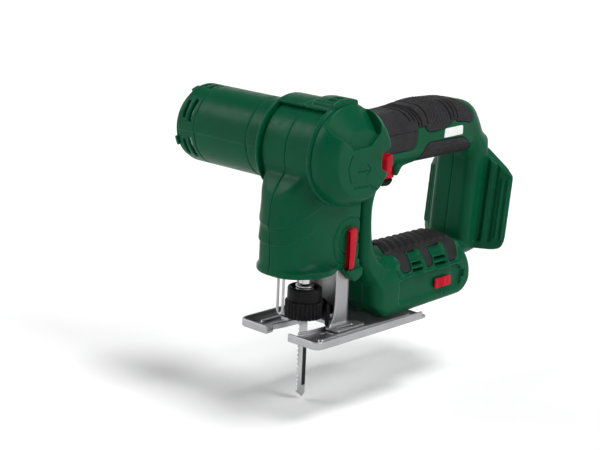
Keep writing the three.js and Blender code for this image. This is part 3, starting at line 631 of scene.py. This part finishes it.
def barrel_field(g):
    a, b = g.y - PIVOT_Y, g.z - PIVOT_Z
    raised = disc(a, b - 2, 25.6)
    tube = either(disc(a, b, 25.6), both(raised, -b), 2)
    barrel = both(tube, span(g.x, -102, -25.5), 1.2)
    barrel = either(barrel, both(disc(a, b, 25.6), span(g.x, -26, -20.9)))
    for x in (-38, -86):
        barrel = engrave(barrel, np.abs(g.x - x) - 0.5, 0.6, 0.3)
    barrel = less(barrel, disc(a, b, 23.4))
    angle = np.degrees(np.arctan2(b, a)) % 60
    outside = 15 - np.sqrt(a * a + b * b)
    for start, end, low, high in ((12, 48, -93, -89.8), (16, 44, -98.6, -96)):
        slots = both(both(span(angle, start, end) * 0.42, outside), span(g.x, low, high), 0.9)
        barrel = less(barrel, slots, 0.4)
    return barrel


def cap_field(g):
    a, b = g.y - PIVOT_Y, g.z - PIVOT_Z
    cap = both(disc(a, b, 24.6), span(g.x, -105.4, -102.3), 1.2)
    cap = engrave(cap, both(np.abs(disc(a, b, 20)) - 0.6, g.x + 104), 0.7, 0.3)
    angle = (np.degrees(np.arctan2(b, a)) - 20) % 90
    tab = both(both(span((angle + 45) % 90, 38, 52) * 0.43, disc(a, b, 27)), 18 - np.sqrt(a * a + b * b), 0.5)
    cap = either(cap, both(tab, span(g.x, -104.6, -102.3), 0.6), 0.6)
    for i in range(12):
        turn = math.radians(i * 30)
        cap = less(cap, disc(a - 13.4 * math.cos(turn), b - 13.4 * math.sin(turn), 2.3), 0.5)
    for i in range(6):
        turn = math.radians(i * 60)
        cap = less(cap, disc(a - 7 * math.cos(turn), b - 7 * math.sin(turn), 1.9), 0.5)
    return either(cap, both(np.abs(disc(a, b, 21.4)) - 1.5, span(g.x, -103, -98), 0.4), 0.4)


# ---- cover, controls ------------------------------------------------------------------------------------
def cover_field(g):
    """The hub's round cover: a pocket cut down towards the rim, shallow relief, and a notch at the lock."""
    a, b = g.y - PIVOT_Y, g.z - PIVOT_Z
    r = np.sqrt(a * a + b * b)
    cover = polygon(r, g.x, [(-40, 24.3), (32, 24.3, 0.6), (32, 29.6, 2), (30.8, 33.6, 2), (26.4, 39.6, 2.4),
                             (24.6, 40.4), (-40, 40.4)])
    line = [(-24, 17.2, 0.6), (-11, 7.0, 0.8), (5.2, 7.4, 0.8), (14.4, 15.2, 0.8), (14.4, 32), (-24, 32)]
    above = polygon(a, b, line)
    floor_x = 38.2 - 0.9 * np.maximum(disc(a + 1, b + 2.4, 20.9), 0)
    cover = less(cover, both(above, floor_x - g.x, 0.3), 0.25)
    relief = either(path(a, b, [(-11.9, 3.4), (-14, -1), (-15, -4.5), (-14, -9), (-11.8, -13.3)]) - 0.5,
                    path(a, b, [(-9.2, -16.9), (5.8, -17.1), (14.6, -22)]) - 0.8)
    arrow = either(path(a, b, [(-6, -7), (6, -7)]) - 0.6, path(a, b, [(3, -4), (6, -7), (3, -10)]) - 0.6)
    cover = engrave(cover, both(either(relief, arrow), 30 - g.x), 0.7, 0.15)
    cover = less(cover, slab(g.y, g.z, (5.4, 98), (40, 127), 0.5), 0.8)
    notch = polygon(g.y, g.z, [(-8, 112, 1), (-8, 121.5, 1), (5, 127.5), (40, 127.5), (40, 104), (3, 107, 1)])
    return less(cover, both(notch, 26.8 - g.x), 0.5)


def trigger_field(g):
    body = both(polygon(g.y, g.z, [(32.4, 92.8), (32.2, 97, 3), (34, 104, 3), (46, 107), (46, 92.8)]),
                np.abs(g.x) - 7.6, 2.4)
    body = less(body, both(disc(g.y - 22.5, g.z - 97, 10.6), np.abs(g.x) - 5, 1), 1)
    return either(body, block(g, (-4, 36, 103), (4, 46, 109.5), 0.6))


def trigger_tip_field(g):
    tip = polygon(g.y, g.z, [(32.5, 92.5), (33, 88.6, 3), (42, 87.6, 5), (45.8, 92.5)])
    return both(tip, np.abs(g.x) - 7.4, 2.2)


def lock_field(g):
    low, high = cad("head_lock_button")
    side = both(span(g.y, low[1], high[1]), span(g.z, low[2], high[2]), 1.2)
    button = both(side, span(g.x, 11, high[0]), 1.2)
    slant = g.z - high[2] + 3 + 0.55 * (high[1] - g.y)
    button = both(button, 0.70 * slant * 0.9, 1)
    front = (low[1] + 3.2 + 0.55 * (g.x - 20)) - g.y
    return both(button, np.where(g.x > 20, front * 0.87, -5), 0.6)


def slider_field(g):
    low, high = cad("storage_slider")
    knob = block(g, low, high + np.array([-0.6, 0, 0]), 1.0)
    for i in range(4):
        knob = engrave(knob, both(np.abs(g.y - low[1] - 3 - 1.7 * i) - 0.35, 20 - g.x), 0.5, 0.2)
    mark = polygon(g.y, g.z, [(low[1] + 12.5, low[2] + 1.8), (low[1] + 14.4, low[2] + 1.8),
                              (low[1] + 14.4, low[2] + 6), (low[1] + 13, low[2] + 6)])
    return emboss(knob, both(mark, 20 - g.x), 0.3, 0.15)


def lever_field(g):
    """The foot lever. Its outline passes the front of its grid, so the mesh is cut off and open there."""
    low, high = cad("foot_lever")
    side = polygon(g.y, g.z, [(-16.6, 67, 2), (-15.4, 71.3, 2), (-9.2, 70.9, 2), (-8.5, 66, 2),
                              (-10.6, 45.4, 1.6), (-11.4, 43.9, 0.8), (-16.4, 43.9, 0.8), (-17.2, 46, 1.4)])
    crown = np.sqrt((g.y + 12.9) ** 2 + (g.x - high[0] + 9) ** 2) - 9
    lever = both(both(side, span(g.x, low[0], high[0]), 1.6), crown, 0.8)
    return engrave(lever, both(np.abs(g.z - 61.6) - 0.28, 22 - g.x), 0.35, 0.15)


def badge_field(g):
    """The blank label, which follows the grip's left side."""
    plate = polygon(g.y, g.z, [(81.5, 118.1, 1.2), (102.7, 118.4, 1.2), (102.3, 124.8, 1.2),
                               (82.4, 124.4, 1.2)])
    return both(both(plate, span(grip_field(g), 0.08, 0.6), 0.15), 5 - g.x)


# ---- chuck and foot ---------------------------------------------------------------------------------------
def collar_field(g):
    low, high = cad("chuck_collar")
    a, b = g.x, g.y - SPINDLE_Y
    r = np.sqrt(a * a + b * b)
    turn = np.arctan2(b, a)
    rib = 1.3 * (np.abs(np.cos(turn * 14)) ** 0.7)
    step = low[2] + 11.4
    lower = both(r - 11.3 - rib, span(g.z, low[2], step), 1.0)
    upper = both(r - 11.2, span(g.z, step - 1, high[2]), 1.4)
    collar = either(lower, upper, 0.6)
    collar = engrave(collar, np.abs(g.z - step - 0.4) - 0.35, 0.7, 0.2)
    mouth = both(r - 8.9, high[2] - 4.5 - g.z)
    collar = less(collar, mouth, 0.8)
    return less(collar, r - 6.3, 0.4)


def core_field(g):
    low, high = cad("chuck_core")
    a, b = g.x, g.y - SPINDLE_Y
    r = np.sqrt(a * a + b * b)
    core = both(r - 6, span(g.z, low[2], high[2]), 0.8)
    core = engrave(core, np.abs(g.z - high[2] + 2) - 0.4, 0.6, 0.2)
    slot = both(both(np.abs(a) - 0.9, np.abs(b) - 4.2), g.z - 27.3)
    return less(core, slot, 0.3)


def plunger_field(g):
    low, high = cad("plunger")
    r = disc(g.x, g.y - SPINDLE_Y, 4)
    return both(r, span(g.z, low[2], high[2]), 0.6)


def bracket_field(g):
    y, z, ax = g.y, g.z, np.abs(g.x)
    outer = both(polygon(ax, y, [(-5, -60), (17.6, -60), (17.6, -4.8, 4.5), (-5, -4.8)]), span(z, 3.9, 57))
    inner = polygon(ax, y, [(-5, -60), (15.8, -60), (15.8, -6.6, 2.8), (-5, -6.6)])
    side = polygon(y, z, [(-25.5, 0), (-25.5, 5, 2), (-20.5, 11, 5), (-19.5, 19, 4), (-19.5, 60, 1), (8, 60),
                          (8, 0)])
    wall = both(less(outer, inner, 0.3), side, 0.4)
    foot = both(both(slab(ax, y, (14, -25.5), (26, 1.5), 2), span(z, 3.5, 5.1), 0.4), 15.8 - ax)
    bracket = either(wall, foot, 2.2)
    bracket = both(bracket, 3.45 - z, 0.2)
    slit = slab(ax, y, (21, -22), (23.4, -6), 1.1)
    return less(bracket, both(slit, z - 12), 0.3)


def plate_field(g):
    x, y, z = g.x, g.y, g.z
    high = cad("foot_plate")[1]
    half_w, half_l = high[0], high[1]
    out = polygon(x, y, [(-half_w, -half_l, 6), (half_w, -half_l, 6), (half_w, half_l, 1.5),
                         (-half_w, half_l, 1.5)])
    wall = both(out, span(z, 0, 5.4), 0.7)
    dish = both(out + 1.7, 1.8 - z, 1.0)
    plate = less(wall, dish, 0.5)
    plate = less(plate, both(half_l - 4 - y, 2.2 - z), 0.5)
    for s in (-1, 1):
        bead = both(slab(s * x, y, (23.3, -43), (27.7, 47), 2.2), span(z, 1, 3.2), 1.2)
        plate = either(plate, bead, 0.6)
        under = both(slab(s * x, y, (24.4, -42), (26.6, 46), 1), z - 0.9)
        plate = less(plate, both(under, -0.5 - z), 0.3)
    slot = polygon(x, y, [(-9.7, -80), (-10.4, -47.4, 1), (-13.4, -45, 1), (-11.5, -34, 3), (-11, -9.5, 2),
                          (11, -9.5, 2), (11, -34, 4), (8.6, -44.4, 1), (9.3, -80)])
    collar = both(both(slot - 1.6, span(z, 0.4, 4.2), 0.5), span(y, -45, -7))
    plate = either(plate, both(collar, out + 1), 0.5)
    plate = less(plate, slot, 0.5)
    window = slab(x, y, (-14, 30.5), (14, 47.3), 1)
    press = both(slab(x, y, (-17, 27), (17, 50), 3), span(z, 1.2, 3.0), 1)
    plate = either(plate, press, 1)
    plate = less(plate, window, 0.6)
    notch = polygon(x, y, [(-13, 80), (-13, half_l), (-9.6, half_l - 4.5, 2), (9.6, half_l - 4.5, 2),
                           (13, half_l), (13, 80)])
    plate = less(plate, notch, 0.6)
    slit = slab(x, y, (14.6, -31), (16.4, -22), 0.8)
    plate = less(plate, slit, 0.2)
    for s in (-1, 1):
        ledge = block(g, (min(s * 16, s * 27), -27, 0.6), (max(s * 16, s * 27), 3, 3.2), 0.6)
        plate = either(plate, ledge, 0.5)
    return both(plate, -z)


def shield_field(g):
    a, b = g.x, g.y - SPINDLE_Y
    r = np.sqrt(a * a + b * b)
    shield = both(both(np.abs(r - 15.5) - 1.1, span(g.z, 5.5, 20), 0.6), 6 - b, 0.5)
    ribs = both(np.abs(r - 16.7) - 0.5, np.abs(((g.z - 5.5) % 3.6) - 1.8) - 0.5, 0.2)
    shield = either(shield, both(both(ribs, 7 - b), span(g.z, 6.5, 19)), 0.2)
    tab = block(g, (-5, -15, 8), (5, -6.9, 14), 0.6)
    return either(shield, tab, 0.8)


def blade_field(g):
    low, high = cad("blade")
    front, back, tip, top = low[1], high[1], low[2], high[2]
    points = [(back, 12), (back - 1, top), (front + 1, top), (front + 0.2, 12), (front + 0.2, 4)]
    pitch = 3
    z = 4
    while z - pitch > tip + 4.5:
        points += [(front + 1.1, z - 0.2), (front + 1.0, z - 0.9), (front, z - pitch * 0.86)]
        z -= pitch
    points += [(front + 0.2, tip + 4.5), (SPINDLE_Y + 1.5, tip), (back, tip + 2.5)]
    return both(polygon(g.y, g.z, points), np.abs(g.x) - 0.6, 0.12)


def wire_field(g):
    """A bent wire guard, open towards the head."""
    bend = path(g.x, g.z, [(-2.3, 60), (-2.3, 20), (-2.0, 18.2), (-1.2, 17), (0, 16.5), (1.2, 17),
                           (2.0, 18.2), (2.3, 20), (2.3, 60)])
    low, high = cad("guard_wire")
    return both(np.sqrt(bend ** 2 + (g.y - (low[1] + high[1]) / 2) ** 2) - 0.9, g.z - high[2])


def screw_field(low, high):
    """A pan head with a six-pointed drive, seen from the right."""
    cy, cz = middle(low, high)

    def field(g):
        a, b = g.y - cy, g.z - cz
        r = np.sqrt(a * a + b * b)
        head = both(r - 3.4, span(g.x, low[0], low[0] + 3), 0.9)
        star = r - 1.5 - 0.28 * np.cos(6 * np.arctan2(b, a))
        head = less(head, both(star, g.x - low[0] - 1.6), 0.15)
        return either(head, both(r - 1.6, span(g.x, low[0] + 2, high[0]), 0.3), 0.3)
    return field


def terminal_field(g):
    """The block that holds the battery contacts, with a slot for each of them."""
    lean = (g.z - DOCK_Z) * LEAN
    low, high = cad("terminal_block")
    holder = both(span(g.y - lean, 132.7, 138.8), span(g.z, low[2], high[2]), 0.8)
    holder = both(holder, np.abs(g.x) - 17, 0.8)
    for x in (-12, -4, 4, 12):
        holder = less(holder, both(np.abs(g.x - x) - 1.1, both(134.2 - (g.y - lean), g.z - high[2] + 3)), 0.3)
    return holder


def pin_field(g):
    low, high = cad("lever_pin")
    r = disc(g.y - LEVER_Y, g.z - LEVER_Z, 2.7)
    return engrave(both(r, span(g.x, low[0], high[0]), 0.5), both(np.abs(r + 1.5) - 0.2, 19 - g.x), 0.3, 0.1)


# ---- materials ----------------------------------------------------------------------------------------
def material(name, color, roughness, metallic=0.0):
    mat = bpy.data.materials.new(name)
    mat.use_nodes = True
    shader = mat.node_tree.nodes["Principled BSDF"]
    shader.inputs["Base Color"].default_value = (*color, 1)
    shader.inputs["Roughness"].default_value = roughness
    shader.inputs["Metallic"].default_value = metallic
    return mat, mat.node_tree, shader


def node(tree, kind, **values):
    made = tree.nodes.new(kind)
    for key, value in values.items():
        if key.startswith("in_"):
            made.inputs[key[3:].replace("_", " ")].default_value = value
        else:
            setattr(made, key, value)
    return made


def noise(tree, scale, detail=4.0, stretch=None):
    """Noise in object space; scale is in features per metre."""
    coordinates = node(tree, "ShaderNodeTexCoord")
    source = coordinates.outputs["Object"]
    if stretch:
        mapping = node(tree, "ShaderNodeMapping", in_Scale=stretch)
        tree.links.new(source, mapping.inputs["Vector"])
        source = mapping.outputs["Vector"]
    texture = node(tree, "ShaderNodeTexNoise", in_Scale=scale, in_Detail=detail)
    tree.links.new(source, texture.inputs["Vector"])
    return texture.outputs["Fac"]


def remap(tree, value, low, high, to_low, to_high):
    ranged = node(tree, "ShaderNodeMapRange")
    tree.links.new(value, ranged.inputs["Value"])
    for key, number in (("From Min", low), ("From Max", high), ("To Min", to_low), ("To Max", to_high)):
        ranged.inputs[key].default_value = number
    return ranged.outputs["Result"]


def mix(tree, factor, first, second):
    blend = node(tree, "ShaderNodeMix", data_type="RGBA")
    tree.links.new(factor, blend.inputs["Factor"])
    for socket, color in ((blend.inputs["A"], first), (blend.inputs["B"], second)):
        if isinstance(color, tuple):
            socket.default_value = (*color, 1)
        else:
            tree.links.new(color, socket)
    return blend.outputs["Result"]


def bump(tree, shader, height, distance, strength=1.0, after=None):
    bumped = node(tree, "ShaderNodeBump", in_Distance=distance * MM, in_Strength=strength)
    tree.links.new(height, bumped.inputs["Height"])
    if after:
        tree.links.new(after.outputs["Normal"], bumped.inputs["Normal"])
    tree.links.new(bumped.outputs["Normal"], shader.inputs["Normal"])
    return bumped


def edges(tree, low, high):
    """1 on convex edges, from the mesh's own sharpness; this is the mask of the painted edge highlight."""
    geometry = node(tree, "ShaderNodeNewGeometry")
    return remap(tree, geometry.outputs["Pointiness"], low, high, 0, 1)


def moulded(name, color, light, roughness, grain=0.05):
    """Moulded plastic: uneven colour, spark-eroded grain, and a painted highlight on its convex edges in a lighter
    copy of its colour.
    """
    mat, tree, shader = material(name, color, roughness)
    shade = remap(tree, noise(tree, 35, 3), 0.3, 0.7, 0, 1)
    dark = tuple(c * 0.82 for c in color)
    base = mix(tree, shade, dark, color)
    # painted highlight: the lighter colour mixed onto convex edges
    painted_highlight = remap(tree, edges(tree, 0.515, 0.6), 0, 1, 0, 0.55)
    base = mix(tree, painted_highlight, base, light)
    tree.links.new(base, shader.inputs["Base Color"])
    tree.links.new(remap(tree, noise(tree, 260, 5), 0.25, 0.75, roughness - 0.07, roughness + 0.09),
                   shader.inputs["Roughness"])
    first = bump(tree, shader, noise(tree, 2600, 2), grain, 0.6)
    bump(tree, shader, noise(tree, 90, 2), grain * 3, 0.25, first)
    shader.inputs["Specular IOR Level"].default_value = 0.08
    return mat


def rubbery(name, color, light):
    """Soft overmould: matt, uneven in colour, with a painted highlight on its convex edges and a fine stipple."""
    mat, tree, shader = material(name, color, 0.62)
    shade = remap(tree, noise(tree, 60, 4), 0.3, 0.7, 0, 1)
    base = mix(tree, shade, color, light)
    # painted highlight: a lighter grey mixed onto convex edges
    base = mix(tree, remap(tree, edges(tree, 0.51, 0.58), 0, 1, 0, 0.5), base, tuple(c * 1.7 for c in light))
    tree.links.new(base, shader.inputs["Base Color"])
    tree.links.new(remap(tree, noise(tree, 500, 4), 0.3, 0.7, 0.5, 0.74), shader.inputs["Roughness"])
    bump(tree, shader, noise(tree, 1900, 3), 0.09, 0.8)
    shader.inputs["Specular IOR Level"].default_value = 0.14
    return mat


def pressed_steel(name, color, roughness, brush=(40, 1, 1), rough_spread=0.1):
    """Zinc-plated or brushed steel with drawn streaks, cloudy plating and small scratches."""
    mat, tree, shader = material(name, color, roughness, 1.0)
    clouds = remap(tree, noise(tree, 45, 5), 0.3, 0.7, 0, 1)
    base = mix(tree, clouds, tuple(c * 0.86 for c in color), color)
    tree.links.new(base, shader.inputs["Base Color"])
    streaks = noise(tree, 120, 4, stretch=brush)
    tree.links.new(remap(tree, streaks, 0.25, 0.75, roughness - rough_spread, roughness + rough_spread),
                   shader.inputs["Roughness"])
    bump(tree, shader, streaks, 0.03, 0.5)
    return mat


def printed_blade(color, ink):
    """Blade steel with a dark print on its rear half: plain bars."""
    mat = pressed_steel("blade steel", color, 0.3, brush=(1, 40, 1))
    tree = mat.node_tree
    shader = tree.nodes["Principled BSDF"]
    steel = shader.inputs["Base Color"].links[0].from_socket
    coordinates = node(tree, "ShaderNodeTexCoord")
    axes = node(tree, "ShaderNodeSeparateXYZ")
    tree.links.new(coordinates.outputs["Object"], axes.inputs["Vector"])
    behind = remap(tree, axes.outputs["Y"], (SPINDLE_Y + 0.1) * MM, (SPINDLE_Y + 0.3) * MM, 0, 1)
    below = remap(tree, axes.outputs["Z"], -6 * MM, -6.4 * MM, 0, 1)
    above = remap(tree, axes.outputs["Z"], -38 * MM, -37.6 * MM, 0, 1)
    covered = node(tree, "ShaderNodeMath", operation="MULTIPLY")
    tree.links.new(behind, covered.inputs[0])
    tree.links.new(below, covered.inputs[1])
    printed = node(tree, "ShaderNodeMath", operation="MULTIPLY")
    tree.links.new(covered.outputs["Value"], printed.inputs[0])
    tree.links.new(above, printed.inputs[1])
    tree.links.new(mix(tree, printed.outputs["Value"], steel, ink), shader.inputs["Base Color"])
    return mat


# the second colour of each is the painted highlight on its convex edges; for the rubber it also sets the lighter
# end of its uneven tone
GREEN = moulded("green plastic", (0.0003, 0.072, 0.030), (0.004, 0.13, 0.066), 0.34)
RED = moulded("red plastic", (0.48, 0.006, 0.018), (0.58, 0.04, 0.045), 0.34)
BLACK = moulded("black plastic", (0.009, 0.009, 0.010), (0.04, 0.04, 0.042), 0.42)
WHITE = moulded("label print", (0.78, 0.80, 0.78), (0.85, 0.86, 0.85), 0.4, grain=0.01)
RUBBER = rubbery("soft rubber", (0.012, 0.012, 0.013), (0.022, 0.021, 0.023))
STEEL = pressed_steel("plated steel", (0.42, 0.42, 0.43), 0.42, brush=(1, 30, 1))
BRIGHT = pressed_steel("ground steel", (0.60, 0.60, 0.61), 0.26, brush=(1, 1, 30))
BLADE_STEEL = printed_blade((0.50, 0.50, 0.51), (0.02, 0.02, 0.022))
CAST = pressed_steel("cast metal", (0.42, 0.43, 0.44), 0.5, brush=(1, 1, 1), rough_spread=0.12)
BRASS = pressed_steel("brass", (0.66, 0.46, 0.20), 0.3, brush=(1, 1, 20))
BOARD = moulded("circuit board", (0.01, 0.09, 0.045), (0.1, 0.25, 0.15), 0.45)


# ---- the pieces ---------------------------------------------------------------------------------------
def span_of(*nodes, grow=0.6):
    """The box round CAD nodes, in millimetres, grown a little."""
    corners = [cad(name) for name in nodes]
    low = np.min([corner[0] for corner in corners], axis=0)
    high = np.max([corner[1] for corner in corners], axis=0)
    return low - grow, high + grow


DETAIL = 1.0  # how much coarser than its own step each grid is

make_halves("body_shell_left", "body_shell_right", body_field,
            *span_of("body_shell_left", "body_shell_right", grow=1.4),
            0.75 * DETAIL, GREEN, "green_plastic", 0.5)
for name, field, keep in (("grip_upper", upper_grip, 0.6), ("grip_under", under_grip, 0.5),
                          ("grip_lower", lower_grip, 0.6)):
    make(name, field, *span_of(name, grow=1.6), 0.5 * DETAIL, RUBBER, "soft_rubber", keep)
make_halves("head_shell_left", "head_shell_right", head_field,
            *span_of("head_shell_left", "head_shell_right"), 0.65 * DETAIL, GREEN, "green_plastic", 0.5)
# node, its field, how far its grid goes past its CAD box, step, material, slot, share of faces kept
SKINS = [
    ("motor_housing", barrel_field, 0.6, 0.6, GREEN, "green_plastic", 0.4),
    ("barrel_end_cap", cap_field, 0.6, 0.45, GREEN, "green_plastic", 0.6),
    ("hub_cover", cover_field, 0.6, 0.5, GREEN, "green_plastic", 0.5),
    ("badge", badge_field, 1.2, 0.2, WHITE, "white_plastic", 0.5),
    ("trigger", trigger_field, 0.6, 0.4, RED, "red_plastic", 1.0),
    ("trigger_tip", trigger_tip_field, 0.6, 0.4, BLACK, "black_plastic", 1.0),
    ("head_lock_button", lock_field, 0.6, 0.4, RED, "red_plastic", 1.0),
    ("storage_slider", slider_field, 0.6, 0.25, RED, "red_plastic", 0.6),
    ("foot_lever", lever_field, 0.6, 0.3, RED, "red_plastic", 0.7),
    ("chuck_collar", collar_field, 0.6, 0.35, BLACK, "black_plastic", 0.8),
    ("chuck_core", core_field, 0.6, 0.3, BRIGHT, "steel", 0.7),
    ("plunger", plunger_field, 0.6, 0.3, BRIGHT, "steel", 0.5),
    ("foot_bracket", bracket_field, 0.6, 0.45, STEEL, "steel", 0.6),
    ("foot_plate", plate_field, 0.6, 0.45, STEEL, "steel", 0.6),
    ("chip_shield", shield_field, 0.6, 0.4, BLACK, "black_plastic", 0.7),
    ("blade", blade_field, 0.6, 0.2, BLADE_STEEL, "steel", 0.5),
    ("guard_wire", wire_field, 0.6, 0.25, STEEL, "steel", 0.6),
    ("terminal_block", terminal_field, 0.6, 0.5, BLACK, "black_plastic", 0.6),
    ("lever_pin", pin_field, 0.6, 0.25, BRIGHT, "steel", 0.5),
]
for name, field, grow, step, look, slot, keep in SKINS:
    make(name, field, *span_of(name, grow=grow), step * DETAIL, look, slot, keep)
for name in [f"body_screw_{i + 1}" for i in range(5)] + ["head_screw_1", "head_screw_2"]:
    make(name, screw_field(*cad(name)), *span_of(name), 0.25 * DETAIL, STEEL, "steel", 0.5)

# the material of each slot, for the CAD nodes that stay as they are
KEPT = {"white_plastic": WHITE, "green_plastic": GREEN, "soft_rubber": RUBBER, "red_plastic": RED,
        "black_plastic": BLACK, "steel": BRIGHT, "cast_metal": CAST, "brass": BRASS, "circuit_board": BOARD}
for part in frame["record"]["subparts"]:
    obj = frame["nodes"][part["node"]]
    obj.data.materials.clear()
    obj.data.materials.append(KEPT[part["material_slot"]])


# ---- floor, light and camera ---------------------------------------------------------------------------
def bowl(flat, height, top):
    """A round floor, flat out to one radius and then rising smoothly to its rim."""
    rings = [(0.02, 0)] + [(flat * (i + 1) / 6, 0) for i in range(6)]
    for i in range(12):
        turn = math.radians(90) * (i + 1) / 12
        rings.append((flat + (top - flat) * math.sin(turn), height * (1 - math.cos(turn))))
    sides = 96
    points = [(r * math.cos(2 * math.pi * k / sides), r * math.sin(2 * math.pi * k / sides), z)
              for r, z in rings for k in range(sides)]
    faces = [tuple(range(sides))]
    for i in range(len(rings) - 1):
        for k in range(sides):
            after = (k + 1) % sides
            faces.append((i * sides + k, (i + 1) * sides + k, (i + 1) * sides + after, i * sides + after))
    mesh = bpy.data.meshes.new("floor")
    mesh.from_pydata(points, [], faces)
    mesh.polygons.foreach_set("use_smooth", np.ones(len(mesh.polygons), bool))
    obj = bpy.data.objects.new("floor", mesh)
    bpy.context.scene.collection.objects.link(obj)
    return obj


floor = bowl(4, 3.5, 7)
floor.location.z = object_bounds()[0][2] - 0.002
floor.visible_shadow = False
floor.data.materials.append(material("pale floor", (0.92, 0.92, 0.92), 0.7)[0])


def soft_sun(name, towards, angle, strength):
    """A soft light from one direction, as wide in the sky as its angle in degrees."""
    light = bpy.data.lights.new(name, "SUN")
    light.angle = math.radians(angle)
    light.energy = strength
    obj = bpy.data.objects.new(name, light)
    bpy.context.scene.collection.objects.link(obj)
    obj.rotation_euler = Vector(towards).to_track_quat("Z", "Y").to_euler()


soft_sun("left", (-0.8, -0.5, 0.7), 24, 0.9)
soft_sun("right", (0.9, 0.2, 0.75), 20, 1.2)
soft_sun("top", (0.15, 0.25, 1), 22, 1.9)
world = bpy.data.worlds.new("studio")
world.use_nodes = True
world.node_tree.nodes["Background"].inputs["Color"].default_value = (1, 1, 1, 1)
world.node_tree.nodes["Background"].inputs["Strength"].default_value = 0.14
bpy.context.scene.world = world
bpy.context.scene.view_settings.view_transform = "Standard"

AZIMUTH, ELEVATION, ROLL = (math.radians(angle) for angle in (42.45, 14.5, 2.55))
AIM = Vector((-38.6, 4.5, 57.5)) * MM
DISTANCE = 1.0529
LENS = 93.65
back = Vector((math.sin(AZIMUTH) * math.cos(ELEVATION), -math.cos(AZIMUTH) * math.cos(ELEVATION),
               math.sin(ELEVATION)))
level = Vector((math.cos(AZIMUTH), math.sin(AZIMUTH), 0))
right = math.cos(ROLL) * level + math.sin(ROLL) * back.cross(level)
up = back.cross(right)
camera = bpy.data.objects.new("camera", bpy.data.cameras.new("camera"))
camera.data.lens = LENS
turned = Matrix((right, up, back)).transposed().to_4x4()
camera.matrix_world = Matrix.Translation(AIM + back * DISTANCE) @ turned
bpy.context.scene.collection.objects.link(camera)
bpy.context.scene.camera = camera
